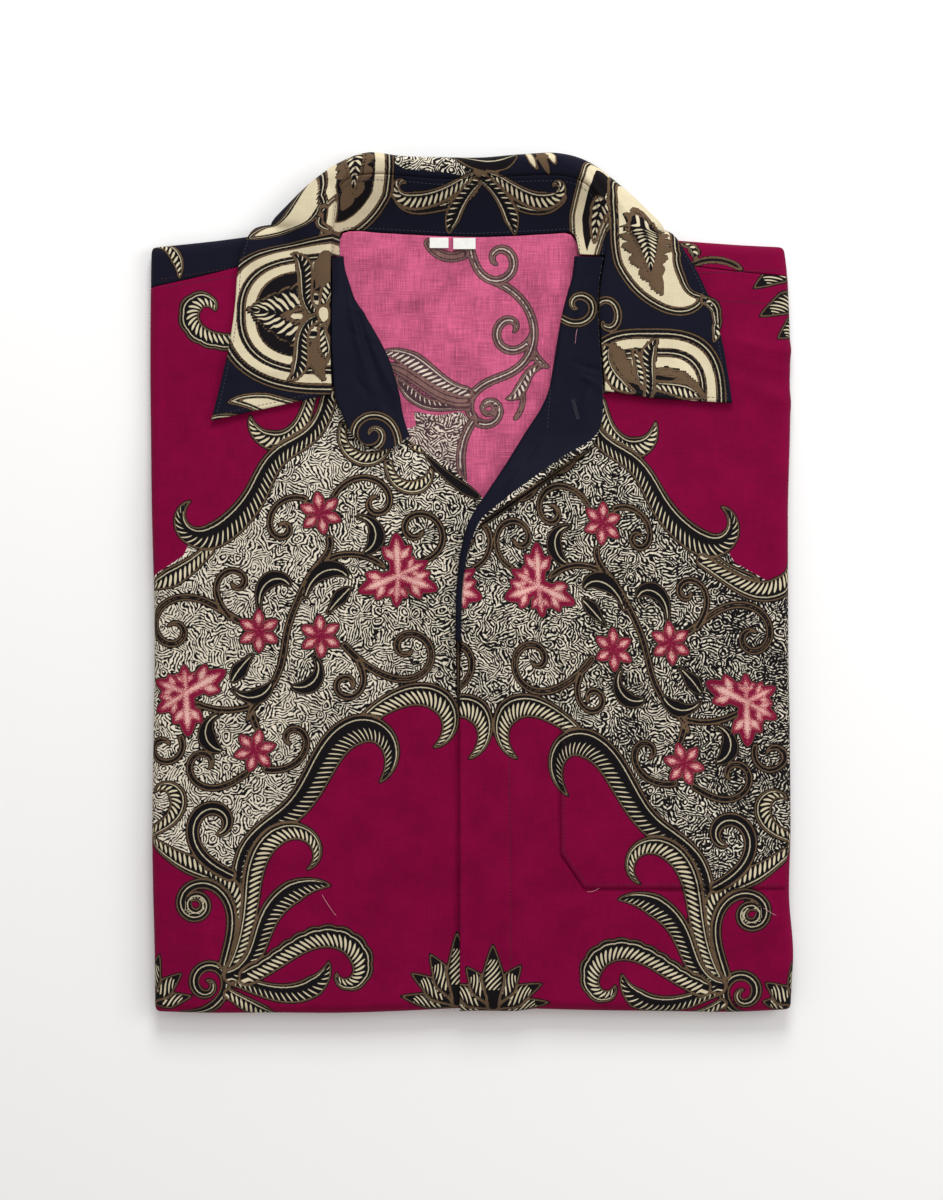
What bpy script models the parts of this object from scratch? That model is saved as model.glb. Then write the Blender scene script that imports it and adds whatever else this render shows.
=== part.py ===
"""A batik shirt folded flat, front up: the pieces that a maker cuts and sews.

+X runs across the chest to the wearer's left, +Y runs up to the collar, and Z is
0 on the surface that the shirt lies on. Lengths are millimetres until a mesh is
made. Each cloth piece is a wall drawn on the stack of folded layers: a place on
the flat cloth goes to where it lies, also past the side, bottom and shoulder folds.
"""

from collections import namedtuple

import bpy
import numpy as np

METRE = 0.001
ORIGIN = np.array([0.23, 0.14, 0.0])

# The folded stack: its outline, its height and the rounding of its folds.
HALF_WIDTH = 184.0
BOTTOM = -248.5
SHOULDER = 196.0
UPPER_LAYERS = 9.1
TAIL_LAYERS = 6.4
SHOULDER_LAYERS = 2.4
TAIL_END = (25.0, 100.0)
FOLD_REACH = 6.5
SIDE_FOLD_DROP = 5.5
END_FOLD_DROP = 6.6
FOLD_CLOTH = 9.4
TUCK = 4.0
TUCK_TURN = np.radians(75.0)
SIDE_CLEAR = 0.6
FLOOR_CLEAR = 0.45
CORNER_SQUARENESS = 5.0
SETTLED_MARGIN = 60.0

# Cloth walls, and the gap at seams and between layers.
CLOTH = 1.2
BACK_CLOTH = 1.0
LAPEL_CLOTH = 1.6
COLLAR_CLOTH = 1.8
STAND_CLOTH = 1.5
GAP = 0.35
SEAM_GAP = 0.5
BACK_DEPTH = 3.7
LAYERS_DEPTH = CLOTH + 0.55
RECESS_DEPTH = BACK_DEPTH + BACK_CLOTH + 0.5

# The fly band of the left front, which laps over the right front.
BAND_EDGE = -6.4
BAND_STITCHES = 22.6
BAND_RISE = 1.75
FACING_RISE = 2.2
UNDERLAP = 19.0

# The pocket: left edge, top, bottom, the cut corner, and where it meets the side fold.
POCKET_LEFT = 51.6
POCKET_TOP = -41.5
POCKET_BOTTOM = -174.9
POCKET_CUT = (13.4, 19.5)
POCKET_CLOTH = 1.0
POCKET_LIFT = 0.5

# The turned-out lapels: the bend's outer radius and the leg that stays inside.
BEND = 2.6
INSIDE_LEG = 4.4
BEHIND_BEND = 3.6
STAND_ROOM = 3.2

LABEL_CLOTH = 1.0

# Where the outline wanders: the side edges by height, the ends by place across.
SideRow = namedtuple("SideRow", "along right left")
SIDE_ROWS = [
    SideRow(-260.0, -181.6, 183.4),
    SideRow(-236.0, -181.8, 184.6),
    SideRow(-212.0, -182.2, 185.6),
    SideRow(-180.0, -183.2, 183.3),
    SideRow(-140.0, -183.6, 184.3),
    SideRow(-90.0, -182.4, 183.6),
    SideRow(-30.0, -182.1, 182.7),
    SideRow(40.0, -183.9, 182.8),
    SideRow(90.0, -185.0, 184.3),
    SideRow(150.0, -185.0, 183.9),
    SideRow(182.0, -184.8, 182.4),
    SideRow(205.0, -184.4, 179.6),
]
EndRow = namedtuple("EndRow", "across bottom shoulder")
END_ROWS = [
    EndRow(-190.0, -246.2, 193.4),
    EndRow(-150.0, -247.4, 197.6),
    EndRow(-112.0, -247.5, 202.4),
    EndRow(-79.0, -247.4, 205.4),
    EndRow(-40.0, -246.2, 203.8),
    EndRow(0.0, -244.6, 202.0),
    EndRow(30.0, -245.0, 202.6),
    EndRow(60.0, -245.6, 203.6),
    EndRow(105.0, -246.4, 199.4),
    EndRow(150.0, -246.9, 196.0),
    EndRow(190.0, -245.0, 194.0),
]

# Soft troughs and ridges in the upper cloth, each along a line.
FoldRow = namedtuple("FoldRow", "x1 y1 x2 y2 width height")
FOLD_ROWS = [
    FoldRow(-150.0, 60.0, -120.0, -20.0, 16.0, 0.7),
    FoldRow(-96.0, -120.0, -128.0, -205.0, 18.0, -0.7),
    FoldRow(-60.0, -200.0, -20.0, -228.0, 14.0, 0.6),
    FoldRow(-168.0, 120.0, -140.0, 40.0, 14.0, -0.6),
    FoldRow(-30.0, -60.0, -48.0, -150.0, 20.0, 0.7),
    FoldRow(150.0, 110.0, 120.0, 40.0, 16.0, -0.7),
    FoldRow(165.0, 20.0, 158.0, -60.0, 14.0, 0.7),
    FoldRow(60.0, 10.0, 92.0, -70.0, 20.0, 0.6),
    FoldRow(100.0, -200.0, 165.0, -214.0, 14.0, -0.6),
    FoldRow(34.0, -110.0, 46.0, -215.0, 12.0, -0.5),
    FoldRow(-4.0, -150.0, 14.0, -175.0, 10.0, 0.5),
]

# The front seams of the yoke: its height at the side fold and its slope to the neck.
YOKE_RIGHT_SIDE, YOKE_RIGHT_SLOPE = 171.6, 0.158
YOKE_LEFT_SIDE, YOKE_LEFT_SLOPE = 178.2, -0.056
NECK_RIGHT, NECK_LEFT = -80.9, 64.8

# Lapels: the bend and the outer edge of each facing from below up, and how far
# the edge stands over the front.
LapelRow = namedtuple("LapelRow", "bend_x bend_y edge_x edge_y rise")
LEFT_LAPEL = [
    LapelRow(-9.2, -33.0, -5.7, -33.0, 0.1),
    LapelRow(-8.9, -9.6, -5.3, -9.2, 0.1),
    LapelRow(-7.2, 10.2, -3.2, 11.0, 0.3),
    LapelRow(-4.3, 25.2, 1.2, 26.6, 0.8),
    LapelRow(-0.6, 36.6, 8.4, 37.6, 1.5),
    LapelRow(8.1, 50.6, 21.6, 46.8, 2.6),
    LapelRow(19.7, 68.2, 37.7, 58.3, 3.2),
    LapelRow(31.3, 86.7, 55.1, 70.5, 2.9),
    LapelRow(40.0, 100.1, 69.0, 79.6, 2.4),
    LapelRow(44.9, 111.5, 75.0, 92.5, 1.9),
    LapelRow(47.2, 123.8, 75.8, 108.4, 1.5),
    LapelRow(49.4, 138.3, 75.0, 125.4, 1.9),
    LapelRow(52.2, 154.0, 73.5, 143.4, 2.8),
    LapelRow(55.6, 167.3, 72.8, 161.5, 3.8),
    LapelRow(58.4, 177.2, 73.8, 175.0, 4.8),
    LapelRow(59.6, 188.3, 75.8, 187.0, 5.5),
]
RIGHT_LAPEL = [
    LapelRow(-35.0, 84.6, -40.6, 80.4, 0.8),
    LapelRow(-37.3, 91.2, -49.0, 77.0, 1.6),
    LapelRow(-39.6, 99.5, -60.6, 79.4, 2.1),
    LapelRow(-41.6, 108.8, -69.2, 87.0, 2.0),
    LapelRow(-43.8, 118.0, -74.2, 97.4, 1.6),
    LapelRow(-46.6, 127.3, -78.0, 108.8, 1.4),
    LapelRow(-51.2, 137.2, -79.2, 122.7, 1.8),
    LapelRow(-57.4, 148.2, -79.9, 138.3, 2.6),
    LapelRow(-64.2, 159.8, -79.9, 153.4, 3.5),
    LapelRow(-69.6, 170.8, -79.5, 166.4, 4.4),
    LapelRow(-72.6, 180.1, -79.4, 177.0, 5.5),
    LapelRow(-73.4, 188.3, -79.6, 185.7, 6.2),
]
# The right front's own edge between its lapel and the fly band.
EdgeRow = namedtuple("EdgeRow", "along across")
RIGHT_EDGE_ROWS = [
    EdgeRow(-270.0, UNDERLAP),
    EdgeRow(24.0, UNDERLAP),
    EdgeRow(36.0, 14.5),
    EdgeRow(45.0, 9.2),
    EdgeRow(52.0, 4.6),
    EdgeRow(60.6, -5.2),
    EdgeRow(68.7, -14.5),
    EdgeRow(73.0, -22.6),
    EdgeRow(77.6, -29.5),
]

# The collar, station by station from the wearer's right tip round the neck to the
# left tip. Heights are over the cloth below, or over the shoulder's where `under`
# is 1 and the leaf turns down behind the shoulder fold.
CollarRow = namedtuple(
    "CollarRow",
    "seam_x seam_y seam_up crest crest_up fall_x fall_y fall_up edge_x edge_y edge_up under",
)
COLLAR_ROWS = [
    CollarRow(-79.9, 108.8, 3.2, 0.12, 3.9, -104.0, 103.6, 3.1, -149.4, 93.6, 3.6, 0.0),
    CollarRow(-80.6, 125.0, 3.7, 0.12, 4.6, -105.0, 120.4, 2.9, -144.6, 112.0, 3.0, 0.0),
    CollarRow(-80.9, 144.0, 4.7, 0.11, 5.7, -104.0, 141.0, 2.9, -139.4, 134.6, 2.8, 0.0),
    CollarRow(-80.5, 163.6, 6.0, 0.10, 7.2, -103.0, 162.0, 3.0, -135.7, 158.8, 2.8, 0.0),
    CollarRow(-80.4, 180.6, 7.6, 0.09, 9.0, -102.0, 180.6, 3.4, -134.0, 180.0, 2.7, 0.0),
    CollarRow(-79.8, 192.6, 8.9, 0.09, 10.5, -106.0, 193.0, 3.6, -130.4, 194.6, 2.4, 0.1),
    CollarRow(-79.2, 201.0, 9.7, 0.09, 11.4, -112.0, 203.0, 2.4, -124.6, 204.2, -0.6, 0.4),
    CollarRow(-78.8, 210.0, 10.3, 0.10, 12.1, -115.0, 208.0, -2.6, -112.8, 208.2, -7.4, 0.9),
    CollarRow(-77.2, 221.0, 10.8, 0.11, 12.7, -105.3, 218.6, -2.4, -97.0, 214.4, -9.8, 1.0),
    CollarRow(-72.8, 229.4, 11.2, 0.16, 13.2, -92.9, 230.3, -1.2, -84.0, 219.2, -10.1, 1.0),
    CollarRow(-66.0, 232.8, 11.5, 0.36, 13.6, -76.9, 241.6, -0.4, -70.0, 222.4, -10.2, 1.0),
    CollarRow(-54.0, 234.0, 11.7, 0.58, 13.8, -59.4, 247.8, 0.2, -54.0, 222.2, -10.2, 1.0),
    CollarRow(-37.6, 233.0, 11.7, 0.62, 13.8, -39.0, 245.4, 0.4, -37.0, 220.6, -10.2, 1.0),
    CollarRow(-17.8, 231.4, 11.5, 0.62, 13.5, -18.0, 244.8, 0.4, -18.0, 219.6, -10.2, 1.0),
    CollarRow(5.2, 231.6, 11.4, 0.62, 13.4, 5.2, 244.6, 0.4, 5.0, 219.6, -10.2, 1.0),
    CollarRow(28.0, 233.0, 11.5, 0.62, 13.6, 29.0, 246.6, 0.3, 28.0, 220.6, -10.2, 1.0),
    CollarRow(47.0, 233.4, 11.5, 0.56, 13.7, 51.0, 247.4, 0.0, 47.0, 222.0, -10.2, 1.0),
    CollarRow(60.2, 231.4, 11.0, 0.32, 13.1, 69.0, 242.0, -0.6, 62.0, 221.2, -10.2, 1.0),
    CollarRow(70.0, 224.6, 10.0, 0.14, 12.0, 87.0, 228.4, -1.6, 79.0, 216.4, -10.1, 1.0),
    CollarRow(75.2, 213.4, 9.2, 0.11, 11.0, 100.6, 216.2, -3.0, 92.4, 210.4, -9.8, 1.0),
    CollarRow(77.0, 202.8, 8.5, 0.10, 10.2, 110.8, 205.2, -3.2, 107.6, 205.4, -7.4, 0.9),
    CollarRow(77.4, 195.6, 8.0, 0.09, 9.6, 106.6, 198.0, 2.2, 116.4, 200.8, -0.4, 0.4),
    CollarRow(77.0, 188.0, 7.5, 0.09, 9.0, 101.0, 188.0, 3.5, 123.6, 189.8, 2.4, 0.1),
    CollarRow(74.9, 175.6, 6.7, 0.10, 7.8, 101.0, 175.6, 3.3, 131.1, 177.0, 2.7, 0.0),
    CollarRow(73.8, 161.4, 5.7, 0.11, 6.6, 101.0, 160.0, 2.9, 138.6, 159.8, 2.8, 0.0),
    CollarRow(74.5, 143.8, 4.7, 0.12, 5.5, 102.0, 142.0, 2.9, 143.8, 141.6, 2.8, 0.0),
    CollarRow(76.0, 125.4, 3.8, 0.12, 4.5, 104.0, 122.6, 2.9, 147.4, 122.0, 3.0, 0.0),
    CollarRow(77.0, 110.6, 3.3, 0.12, 3.9, 104.0, 106.6, 3.2, 150.2, 103.6, 3.6, 0.0),
]
# The stand's lower edge at the neck seam, by collar station.
NeckRow = namedtuple("NeckRow", "station x y up")
NECK_ROWS = [
    NeckRow(4.5, -75.6, 188.8, -2.0),
    NeckRow(6.0, -75.6, 197.6, -2.2),
    NeckRow(7.5, -74.4, 202.8, -2.8),
    NeckRow(9.0, -68.0, 204.0, -4.1),
    NeckRow(11.0, -54.0, 202.8, -4.3),
    NeckRow(13.0, -18.0, 200.8, -4.3),
    NeckRow(14.0, 5.0, 200.2, -4.3),
    NeckRow(16.0, 44.0, 202.0, -4.3),
    NeckRow(18.0, 56.4, 202.8, -3.6),
    NeckRow(19.5, 60.0, 199.6, -1.4),
    NeckRow(21.0, 61.2, 195.6, 1.2),
    NeckRow(22.0, 61.6, 189.4, 2.4),
]
# The back's upper edge, along the neck seam and then under the fronts.
BackRow = namedtuple("BackRow", "across along")
BACK_ROWS = [
    BackRow(-101.0, 188.0),
    BackRow(-86.0, 189.0),
    BackRow(-78.5, 190.0),
    BackRow(-75.8, 198.0),
    BackRow(-74.0, 202.0),
    BackRow(-70.5, 203.1),
    BackRow(-64.0, 203.3),
    BackRow(-54.0, 202.3),
    BackRow(-36.0, 201.3),
    BackRow(-18.0, 200.3),
    BackRow(5.0, 199.7),
    BackRow(24.0, 200.3),
    BackRow(44.0, 201.5),
    BackRow(54.0, 202.2),
    BackRow(57.5, 201.2),
    BackRow(60.2, 198.2),
    BackRow(62.4, 193.0),
    BackRow(66.0, 189.0),
    BackRow(89.0, 188.0),
]
STAND_BOW = 0.9

LabelRow = namedtuple("LabelRow", "name across along width height")
LABEL_ROWS = [
    LabelRow("label_size", -18.4, 196.4, 10.8, 6.0),
    LabelRow("label_fibre", -3.8, 196.0, 12.8, 6.4),
]

CRIMSON = (0.32, 0.008, 0.05)
NAVY = (0.012, 0.014, 0.025)
PINK = (0.52, 0.07, 0.19)
SAND = (0.42, 0.36, 0.22)
WHITE = (0.85, 0.85, 0.83)


def clear_scene():
    for item in list(bpy.data.objects):
        bpy.data.objects.remove(item, do_unlink=True)


def fade(low, high, value):
    """0 below low, 1 above high and smooth between."""
    share = np.clip((value - low) / (high - low), 0.0, 1.0)
    return share * share * (3.0 - 2.0 * share)


def column(rows, name):
    return np.array([getattr(row, name) for row in rows])


def smooth_run(values, places):
    """Catmull-Rom through values at 0, 1, 2 ..., read at the places."""
    padded = np.concatenate([[2 * values[0] - values[1]], values, [2 * values[-1] - values[-2]]])
    start = np.clip(np.floor(places).astype(int), 0, len(values) - 2)
    t = places - start
    a, b, c, d = (padded[start + k] for k in range(4))
    return 0.5 * (2 * b + (c - a) * t + (2 * a - 5 * b + 4 * c - d) * t**2 + (3 * b - a - 3 * c + d) * t**3)


def between_rows(rows, key, name, at):
    """A smooth reading of one column at a value of the key column."""
    places = np.interp(at, column(rows, key), np.arange(len(rows), dtype=float))
    return smooth_run(column(rows, name), places)


def folds_at(x, y):
    """How far the named troughs and ridges move the upper cloth."""
    total = np.zeros(np.broadcast(x, y).shape)
    for fold in FOLD_ROWS:
        run_x, run_y = fold.x2 - fold.x1, fold.y2 - fold.y1
        share = ((x - fold.x1) * run_x + (y - fold.y1) * run_y) / (run_x**2 + run_y**2)
        near = np.clip(share, 0.0, 1.0)
        away = np.hypot(x - fold.x1 - near * run_x, y - fold.y1 - near * run_y)
        total += fold.height * np.exp(-((away / fold.width) ** 2))
    return total


def tail_height(along):
    """Height of the turned-up tail, which ends below the chest."""
    return TAIL_LAYERS + (SHOULDER_LAYERS - TAIL_LAYERS) * fade(*TAIL_END, along)


def top_height(across, along):
    return tail_height(along) + UPPER_LAYERS + folds_at(across, along)


def settle(x, y):
    """Moves places near the outline to where the real outline wanders."""
    sides = column(SIDE_ROWS, "along")
    ends = column(END_ROWS, "across")
    right = smooth_run(column(SIDE_ROWS, "right"), np.interp(y, sides, np.arange(len(sides)))) + HALF_WIDTH
    left = smooth_run(column(SIDE_ROWS, "left"), np.interp(y, sides, np.arange(len(sides)))) - HALF_WIDTH
    low = smooth_run(column(END_ROWS, "bottom"), np.interp(x, ends, np.arange(len(ends)))) - BOTTOM
    high = smooth_run(column(END_ROWS, "shoulder"), np.interp(x, ends, np.arange(len(ends)))) - SHOULDER
    move_x = right * fade(SETTLED_MARGIN, 0.0, x + HALF_WIDTH) + left * fade(SETTLED_MARGIN, 0.0, HALF_WIDTH - x)
    move_y = low * fade(SETTLED_MARGIN, 0.0, y - BOTTOM) + high * fade(SETTLED_MARGIN, 0.0, SHOULDER - y)
    return x + move_x, y + move_y


def unsettle(x, y):
    """The place on the even stack that settles at x, y."""
    at_x, at_y = x, y
    for _ in range(4):
        settled_x, settled_y = settle(at_x, at_y)
        at_x, at_y = at_x + x - settled_x, at_y + y - settled_y
    return at_x, at_y


def past_fold(across, along):
    """The nearest place inside the folds, how far past it the cloth goes, and which way."""
    inside_x = np.clip(across, FOLD_REACH - HALF_WIDTH, HALF_WIDTH - FOLD_REACH)
    inside_y = np.clip(along, BOTTOM + FOLD_REACH, SHOULDER - FOLD_REACH)
    off_x, off_y = across - inside_x, along - inside_y
    past = np.maximum(abs(off_x), abs(off_y))
    size = (abs(off_x) ** CORNER_SQUARENESS + abs(off_y) ** CORNER_SQUARENESS) ** (1 / CORNER_SQUARENESS)
    size = np.where(past > 0, size, 1.0)
    at_end = off_y**2 / np.where(past > 0, off_x**2 + off_y**2, 1.0)
    return inside_x, inside_y, past, off_x / size, off_y / size, at_end


def lie(across, along, depth, face_depth=0.0):
    """Where cloth at this depth under the stack's outer face lies.

    A wall whose face stands over the stack, at a face_depth under 0, turns less far
    under the fold, so that it ends at the same height.
    """
    across, along, depth, face_depth = np.broadcast_arrays(across, along, depth, face_depth)
    inside_x, inside_y, past, way_x, way_y, at_end = past_fold(across, along)
    turn = past / FOLD_CLOTH
    drop = SIDE_FOLD_DROP + (END_FOLD_DROP - SIDE_FOLD_DROP) * at_end
    high = top_height(inside_x, inside_y)
    upper = np.minimum(turn, 1.0) * np.pi / 2
    reach = (FOLD_REACH - depth) * np.sin(upper)
    z = high - depth - (drop - depth) * (1 - np.cos(upper))
    base = (tail_height(inside_y) + SIDE_CLEAR) * (1 - at_end) + FLOOR_CLEAR * at_end
    fall = (high - drop - base) / np.sin(TUCK_TURN)
    whole_turn = np.arcsin(np.sin(TUCK_TURN) * fall / (fall - np.minimum(face_depth, 0.0)))
    lower = np.clip(turn - 1.0, 0.0, 1.0) * whole_turn
    reach = reach - (TUCK - depth) * (1 - np.cos(lower))
    z = z - (fall - depth) * np.sin(lower)
    x, y = settle(inside_x + way_x * reach, inside_y + way_y * reach)
    return np.stack([x, y, z], axis=-1)


def normals(face):
    """Unit normals of a grid of points."""
    run_a = np.gradient(face, axis=0)
    run_b = np.gradient(face, axis=1)
    normal = np.cross(run_a, run_b)
    length = np.linalg.norm(normal, axis=-1, keepdims=True)
    return normal / np.where(length > 0, length, 1.0)


def material(name, colour):
    made = bpy.data.materials.new(name)
    made.use_nodes = True
    shader = made.node_tree.nodes["Principled BSDF"]
    shader.inputs["Base Color"].default_value = (*colour, 1.0)
    shader.inputs["Roughness"].default_value = 0.8
    shader.inputs["Metallic"].default_value = 0.0
    return made


def closed_mesh(name, points, faces, finish):
    """A named object of the points and faces, turned so that its faces point out."""
    volume = 0.0
    for face in faces:
        for k in range(1, len(face) - 1):
            volume += np.dot(points[face[0]], np.cross(points[face[k]], points[face[k + 1]]))
    if volume < 0:
        faces = [face[::-1] for face in faces]
    mesh = bpy.data.meshes.new(name)
    mesh.from_pydata([tuple(point) for point in (points - ORIGIN) * METRE], [], faces)
    mesh.materials.append(finish)
    mesh.shade_smooth()
    made = bpy.data.objects.new(name, mesh)
    bpy.context.scene.collection.objects.link(made)
    return made


def wall(name, outer, inner, finish):
    """A closed wall between two grids of points of the same size."""
    rows, columns = outer.shape[:2]
    points = np.concatenate([outer.reshape(-1, 3), inner.reshape(-1, 3)])
    size = rows * columns

    def at(i, j, side):
        return side * size + i * columns + j

    faces = []
    for i in range(rows - 1):
        for j in range(columns - 1):
            faces.append((at(i, j, 0), at(i, j + 1, 0), at(i + 1, j + 1, 0), at(i + 1, j, 0)))
            faces.append((at(i, j, 1), at(i + 1, j, 1), at(i + 1, j + 1, 1), at(i, j + 1, 1)))
    for i in range(rows - 1):
        for j, step in ((0, 1), (columns - 1, -1)):
            ends = (at(i, j, 0), at(i + 1, j, 0), at(i + 1, j, 1), at(i, j, 1))
            faces.append(ends if step > 0 else ends[::-1])
    for j in range(columns - 1):
        for i, step in ((0, 1), (rows - 1, -1)):
            ends = (at(i, j + 1, 0), at(i, j, 0), at(i, j, 1), at(i, j + 1, 1))
            faces.append(ends if step > 0 else ends[::-1])
    return closed_mesh(name, points, faces, finish)


def upward(way):
    return way if way[..., 2].sum() > 0 else -way


def unit(way):
    return way / np.linalg.norm(way, axis=-1, keepdims=True)


# Where the fronts' edges and the facing's ridge run along the shirt, and how far.
BAND_SPREAD = 0.8
BAND_SPREAD_RUN = (-80.0, -33.0)
STAND_RUN = (170.0, 179.0)
RIGHT_BEND_FOOT = 80.0
FACING_RUN = (-90.0, -38.0)
RIDGE_END_RUN = (50.0, 88.0)
RIDGE_FOOT = 15.0
RIDGE_FROM_STITCHES = 0.5
RIDGE_FROM_EDGE = 12.0


def lapel_curve(rows, spans):
    """The lapel's bend, its outward direction and its edge, drawn out smoothly."""
    places = np.linspace(0.0, len(rows) - 1.0, (len(rows) - 1) * spans + 1)
    bend = np.stack([smooth_run(column(rows, name), places) for name in ("bend_x", "bend_y")], -1)
    edge = np.stack([smooth_run(column(rows, name), places) for name in ("edge_x", "edge_y")], -1)
    rise = smooth_run(column(rows, "rise"), places)
    run = np.gradient(bend, axis=0)
    out = np.stack([run[:, 1], -run[:, 0]], -1)
    out /= np.linalg.norm(out, axis=1, keepdims=True)
    out *= np.sign((out * (edge - bend)).sum(1))[:, None]
    return bend, out, edge, rise


def behind_bend(rows, along, spread):
    """Across the chest, where a front's own edge lies inside the lapel's bend."""
    bend, out, _, _ = lapel_curve(rows, LAPEL_SPANS)
    edge_x, edge_y = unsettle(*(bend + out * spread).T)
    order = np.argsort(edge_y)
    return np.interp(along, edge_y[order], edge_x[order])


def left_edge(along):
    """Where the left front ends: at the fly band's edge, then inside its lapel's bend."""
    turned = behind_bend(LEFT_LAPEL, along, BEHIND_BEND)
    return np.where(along < LEFT_LAPEL[0].bend_y, BAND_EDGE + BAND_SPREAD * fade(*BAND_SPREAD_RUN, along), turned)


def right_edge(along):
    """Where the right front ends: under the fly band, at the opening, inside its lapel's bend."""
    turned = behind_bend(RIGHT_LAPEL, along, BEHIND_BEND) - STAND_ROOM * fade(*STAND_RUN, along)
    free = np.interp(along, column(RIGHT_EDGE_ROWS, "along"), column(RIGHT_EDGE_ROWS, "across"))
    return np.where(along < RIGHT_BEND_FOOT, free, turned)


def left_rise(across, along):
    """How far the left front stands over the stack: on the underlap and the facing."""
    over = BAND_RISE + FACING_RISE * fade(*FACING_RUN, along)
    start = np.maximum(BAND_STITCHES + RIDGE_FROM_STITCHES, left_edge(along) + RIDGE_FROM_EDGE)
    return over * (1 - fade(start, start + RIDGE_FOOT, across)) * (1 - fade(*RIDGE_END_RUN, along))


def yoke_seam(across):
    """Height of the yoke's front seams; at the neck the yoke stays behind the fold."""
    right = YOKE_RIGHT_SIDE + YOKE_RIGHT_SLOPE * (across + HALF_WIDTH)
    left = YOKE_LEFT_SIDE + YOKE_LEFT_SLOPE * (across - HALF_WIDTH)
    return np.where(across < 0.0, right, left)


# Where the cloth's grids have their points: turns round a fold, heights up a front and
# shares of the way from a front's edge to its side fold.
FOLD_TURNS = np.array([0.0, 0.36, 0.7, 1.0, 1.5, 2.0])
BEFORE_SEAM = 75.0
SEAM_PASSES = 4
RIGHT_MARKS = np.concatenate([
    np.linspace(BOTTOM + FOLD_REACH, 24.0, 14),
    [36.0, 45.0, 52.0, 60.6, 68.7, 73.0, 77.6, 82.6, 93.0, 105.0, 118.0, 132.0, 147.0, 160.0],
    [YOKE_RIGHT_SIDE - SEAM_GAP / 2],
])
LEFT_MARKS = np.concatenate([
    np.linspace(BOTTOM + FOLD_REACH, -60.0, 9),
    [-38.0, -20.0, -4.0, 10.0, 21.0, 31.0, 40.0, 49.0, 59.0, 70.0, 82.0, 95.0, 109.0, 124.0],
    [140.0, 154.0, 167.0, YOKE_LEFT_SIDE - SEAM_GAP / 2],
])
RIGHT_SHARES = np.linspace(0.0, 1.0, 11)[:-1]
LEFT_SHARES = np.array([0.0, 0.08, 0.157, 0.185, 0.21, 0.24, 0.3, 0.4, 0.52, 0.64, 0.76, 0.88])
POCKET_MARKS = 8
POCKET_COLUMNS = 9
CUT_MARKS = np.array([0.66, 0.33, 0.0])
# Behind the neck the yoke keeps only what lies past the fold, from these turns on.
NECK_TURNS = (1.15, 1.4)
NECK_START = 1.6
NECK_ROOM = 1.0
YOKE_MIDDLE = np.array([0.0, 0.5])
BACK_LOW_EDGE = 16.0
BACK_SPANS = 9


def front(name, marks, flat_shares, edge_of, side, rise_of, finish):
    """A front: rows up from the bottom fold, columns from its edge out round the side fold.

    The last rows lean until they lie along the yoke's seam.
    """
    below = BOTTOM + FOLD_REACH - FOLD_CLOTH * FOLD_TURNS[:0:-1]
    side_turn = side * (HALF_WIDTH - FOLD_REACH + FOLD_CLOTH * FOLD_TURNS)
    seam_side = yoke_seam(side * HALF_WIDTH)
    face = []
    for height in np.concatenate([below, marks]):
        lean = fade(marks[-1] - BEFORE_SEAM, marks[-1], height)
        edge = edge_of(height)
        for _ in range(SEAM_PASSES):
            edge = edge_of(height + lean * (yoke_seam(edge) - seam_side))
        flat = edge + (side_turn[0] - edge) * flat_shares
        across = np.concatenate([flat, side_turn])
        held = np.clip(across, -HALF_WIDTH, HALF_WIDTH)
        face.append(np.stack([across, height + lean * (yoke_seam(held) - seam_side)], axis=-1))
    across, along = np.moveaxis(np.array(face), -1, 0)
    depth = -rise_of(across, along)
    wall(name, lie(across, along, depth, depth), lie(across, along, depth + CLOTH, depth), finish)


def build_fronts(finish):
    front("front_right", RIGHT_MARKS, RIGHT_SHARES, right_edge, -1.0, lambda a, b: np.zeros_like(a), finish)
    front("front_left", LEFT_MARKS, LEFT_SHARES, left_edge, 1.0, left_rise, finish)


def build_yoke(finish):
    """Strips over the shoulders, joined behind the neck by what lies past the shoulder fold."""
    flat_right = np.linspace(FOLD_REACH - HALF_WIDTH, NECK_RIGHT, 6)
    neck = np.linspace(NECK_RIGHT + NECK_START, NECK_LEFT - NECK_START, 6)
    flat_left = np.linspace(NECK_LEFT, HALF_WIDTH - FOLD_REACH, 7)
    turned = FOLD_CLOTH * FOLD_TURNS[1:]
    across = np.concatenate([
        flat_right[0] - turned[::-1], flat_right, neck, flat_left, flat_left[-1] + turned,
    ])
    last = SHOULDER - FOLD_REACH
    face = []
    for place in across:
        first = yoke_seam(np.clip(place, -HALF_WIDTH, HALF_WIDTH)) + SEAM_GAP / 2
        if NECK_RIGHT + NECK_ROOM < place < NECK_LEFT - NECK_ROOM:
            turns = np.concatenate([np.linspace(*NECK_TURNS, len(FOLD_TURNS)), FOLD_TURNS[-2:]])
            rows = last + FOLD_CLOTH * turns
        else:
            rows = np.concatenate([first + (last - first) * YOKE_MIDDLE, last + FOLD_CLOTH * FOLD_TURNS])
        face.append(np.stack([np.full_like(rows, place), rows], axis=-1))
    across, along = np.moveaxis(np.array(face), -1, 0)
    wall("yoke", lie(across, along, 0.0), lie(across, along, CLOTH), finish)


def level(x, y, depth):
    """A place under the shoulder's cloth that lies flat, not turned down at the fold."""
    held = np.clip(y, BOTTOM + FOLD_REACH, SHOULDER - FOLD_REACH)
    return np.stack([x, y, top_height(x, held) - depth], axis=-1)


def build_back(finish):
    across = column(BACK_ROWS, "across")
    top = column(BACK_ROWS, "along")
    shares = np.linspace(0.0, 1.0, BACK_SPANS + 1)[:, None]
    along = BACK_LOW_EDGE + (top - BACK_LOW_EDGE) * shares
    across = np.broadcast_to(across, along.shape)
    wall("back_panel", level(across, along, BACK_DEPTH), level(across, along, BACK_DEPTH + BACK_CLOTH), finish)


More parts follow.
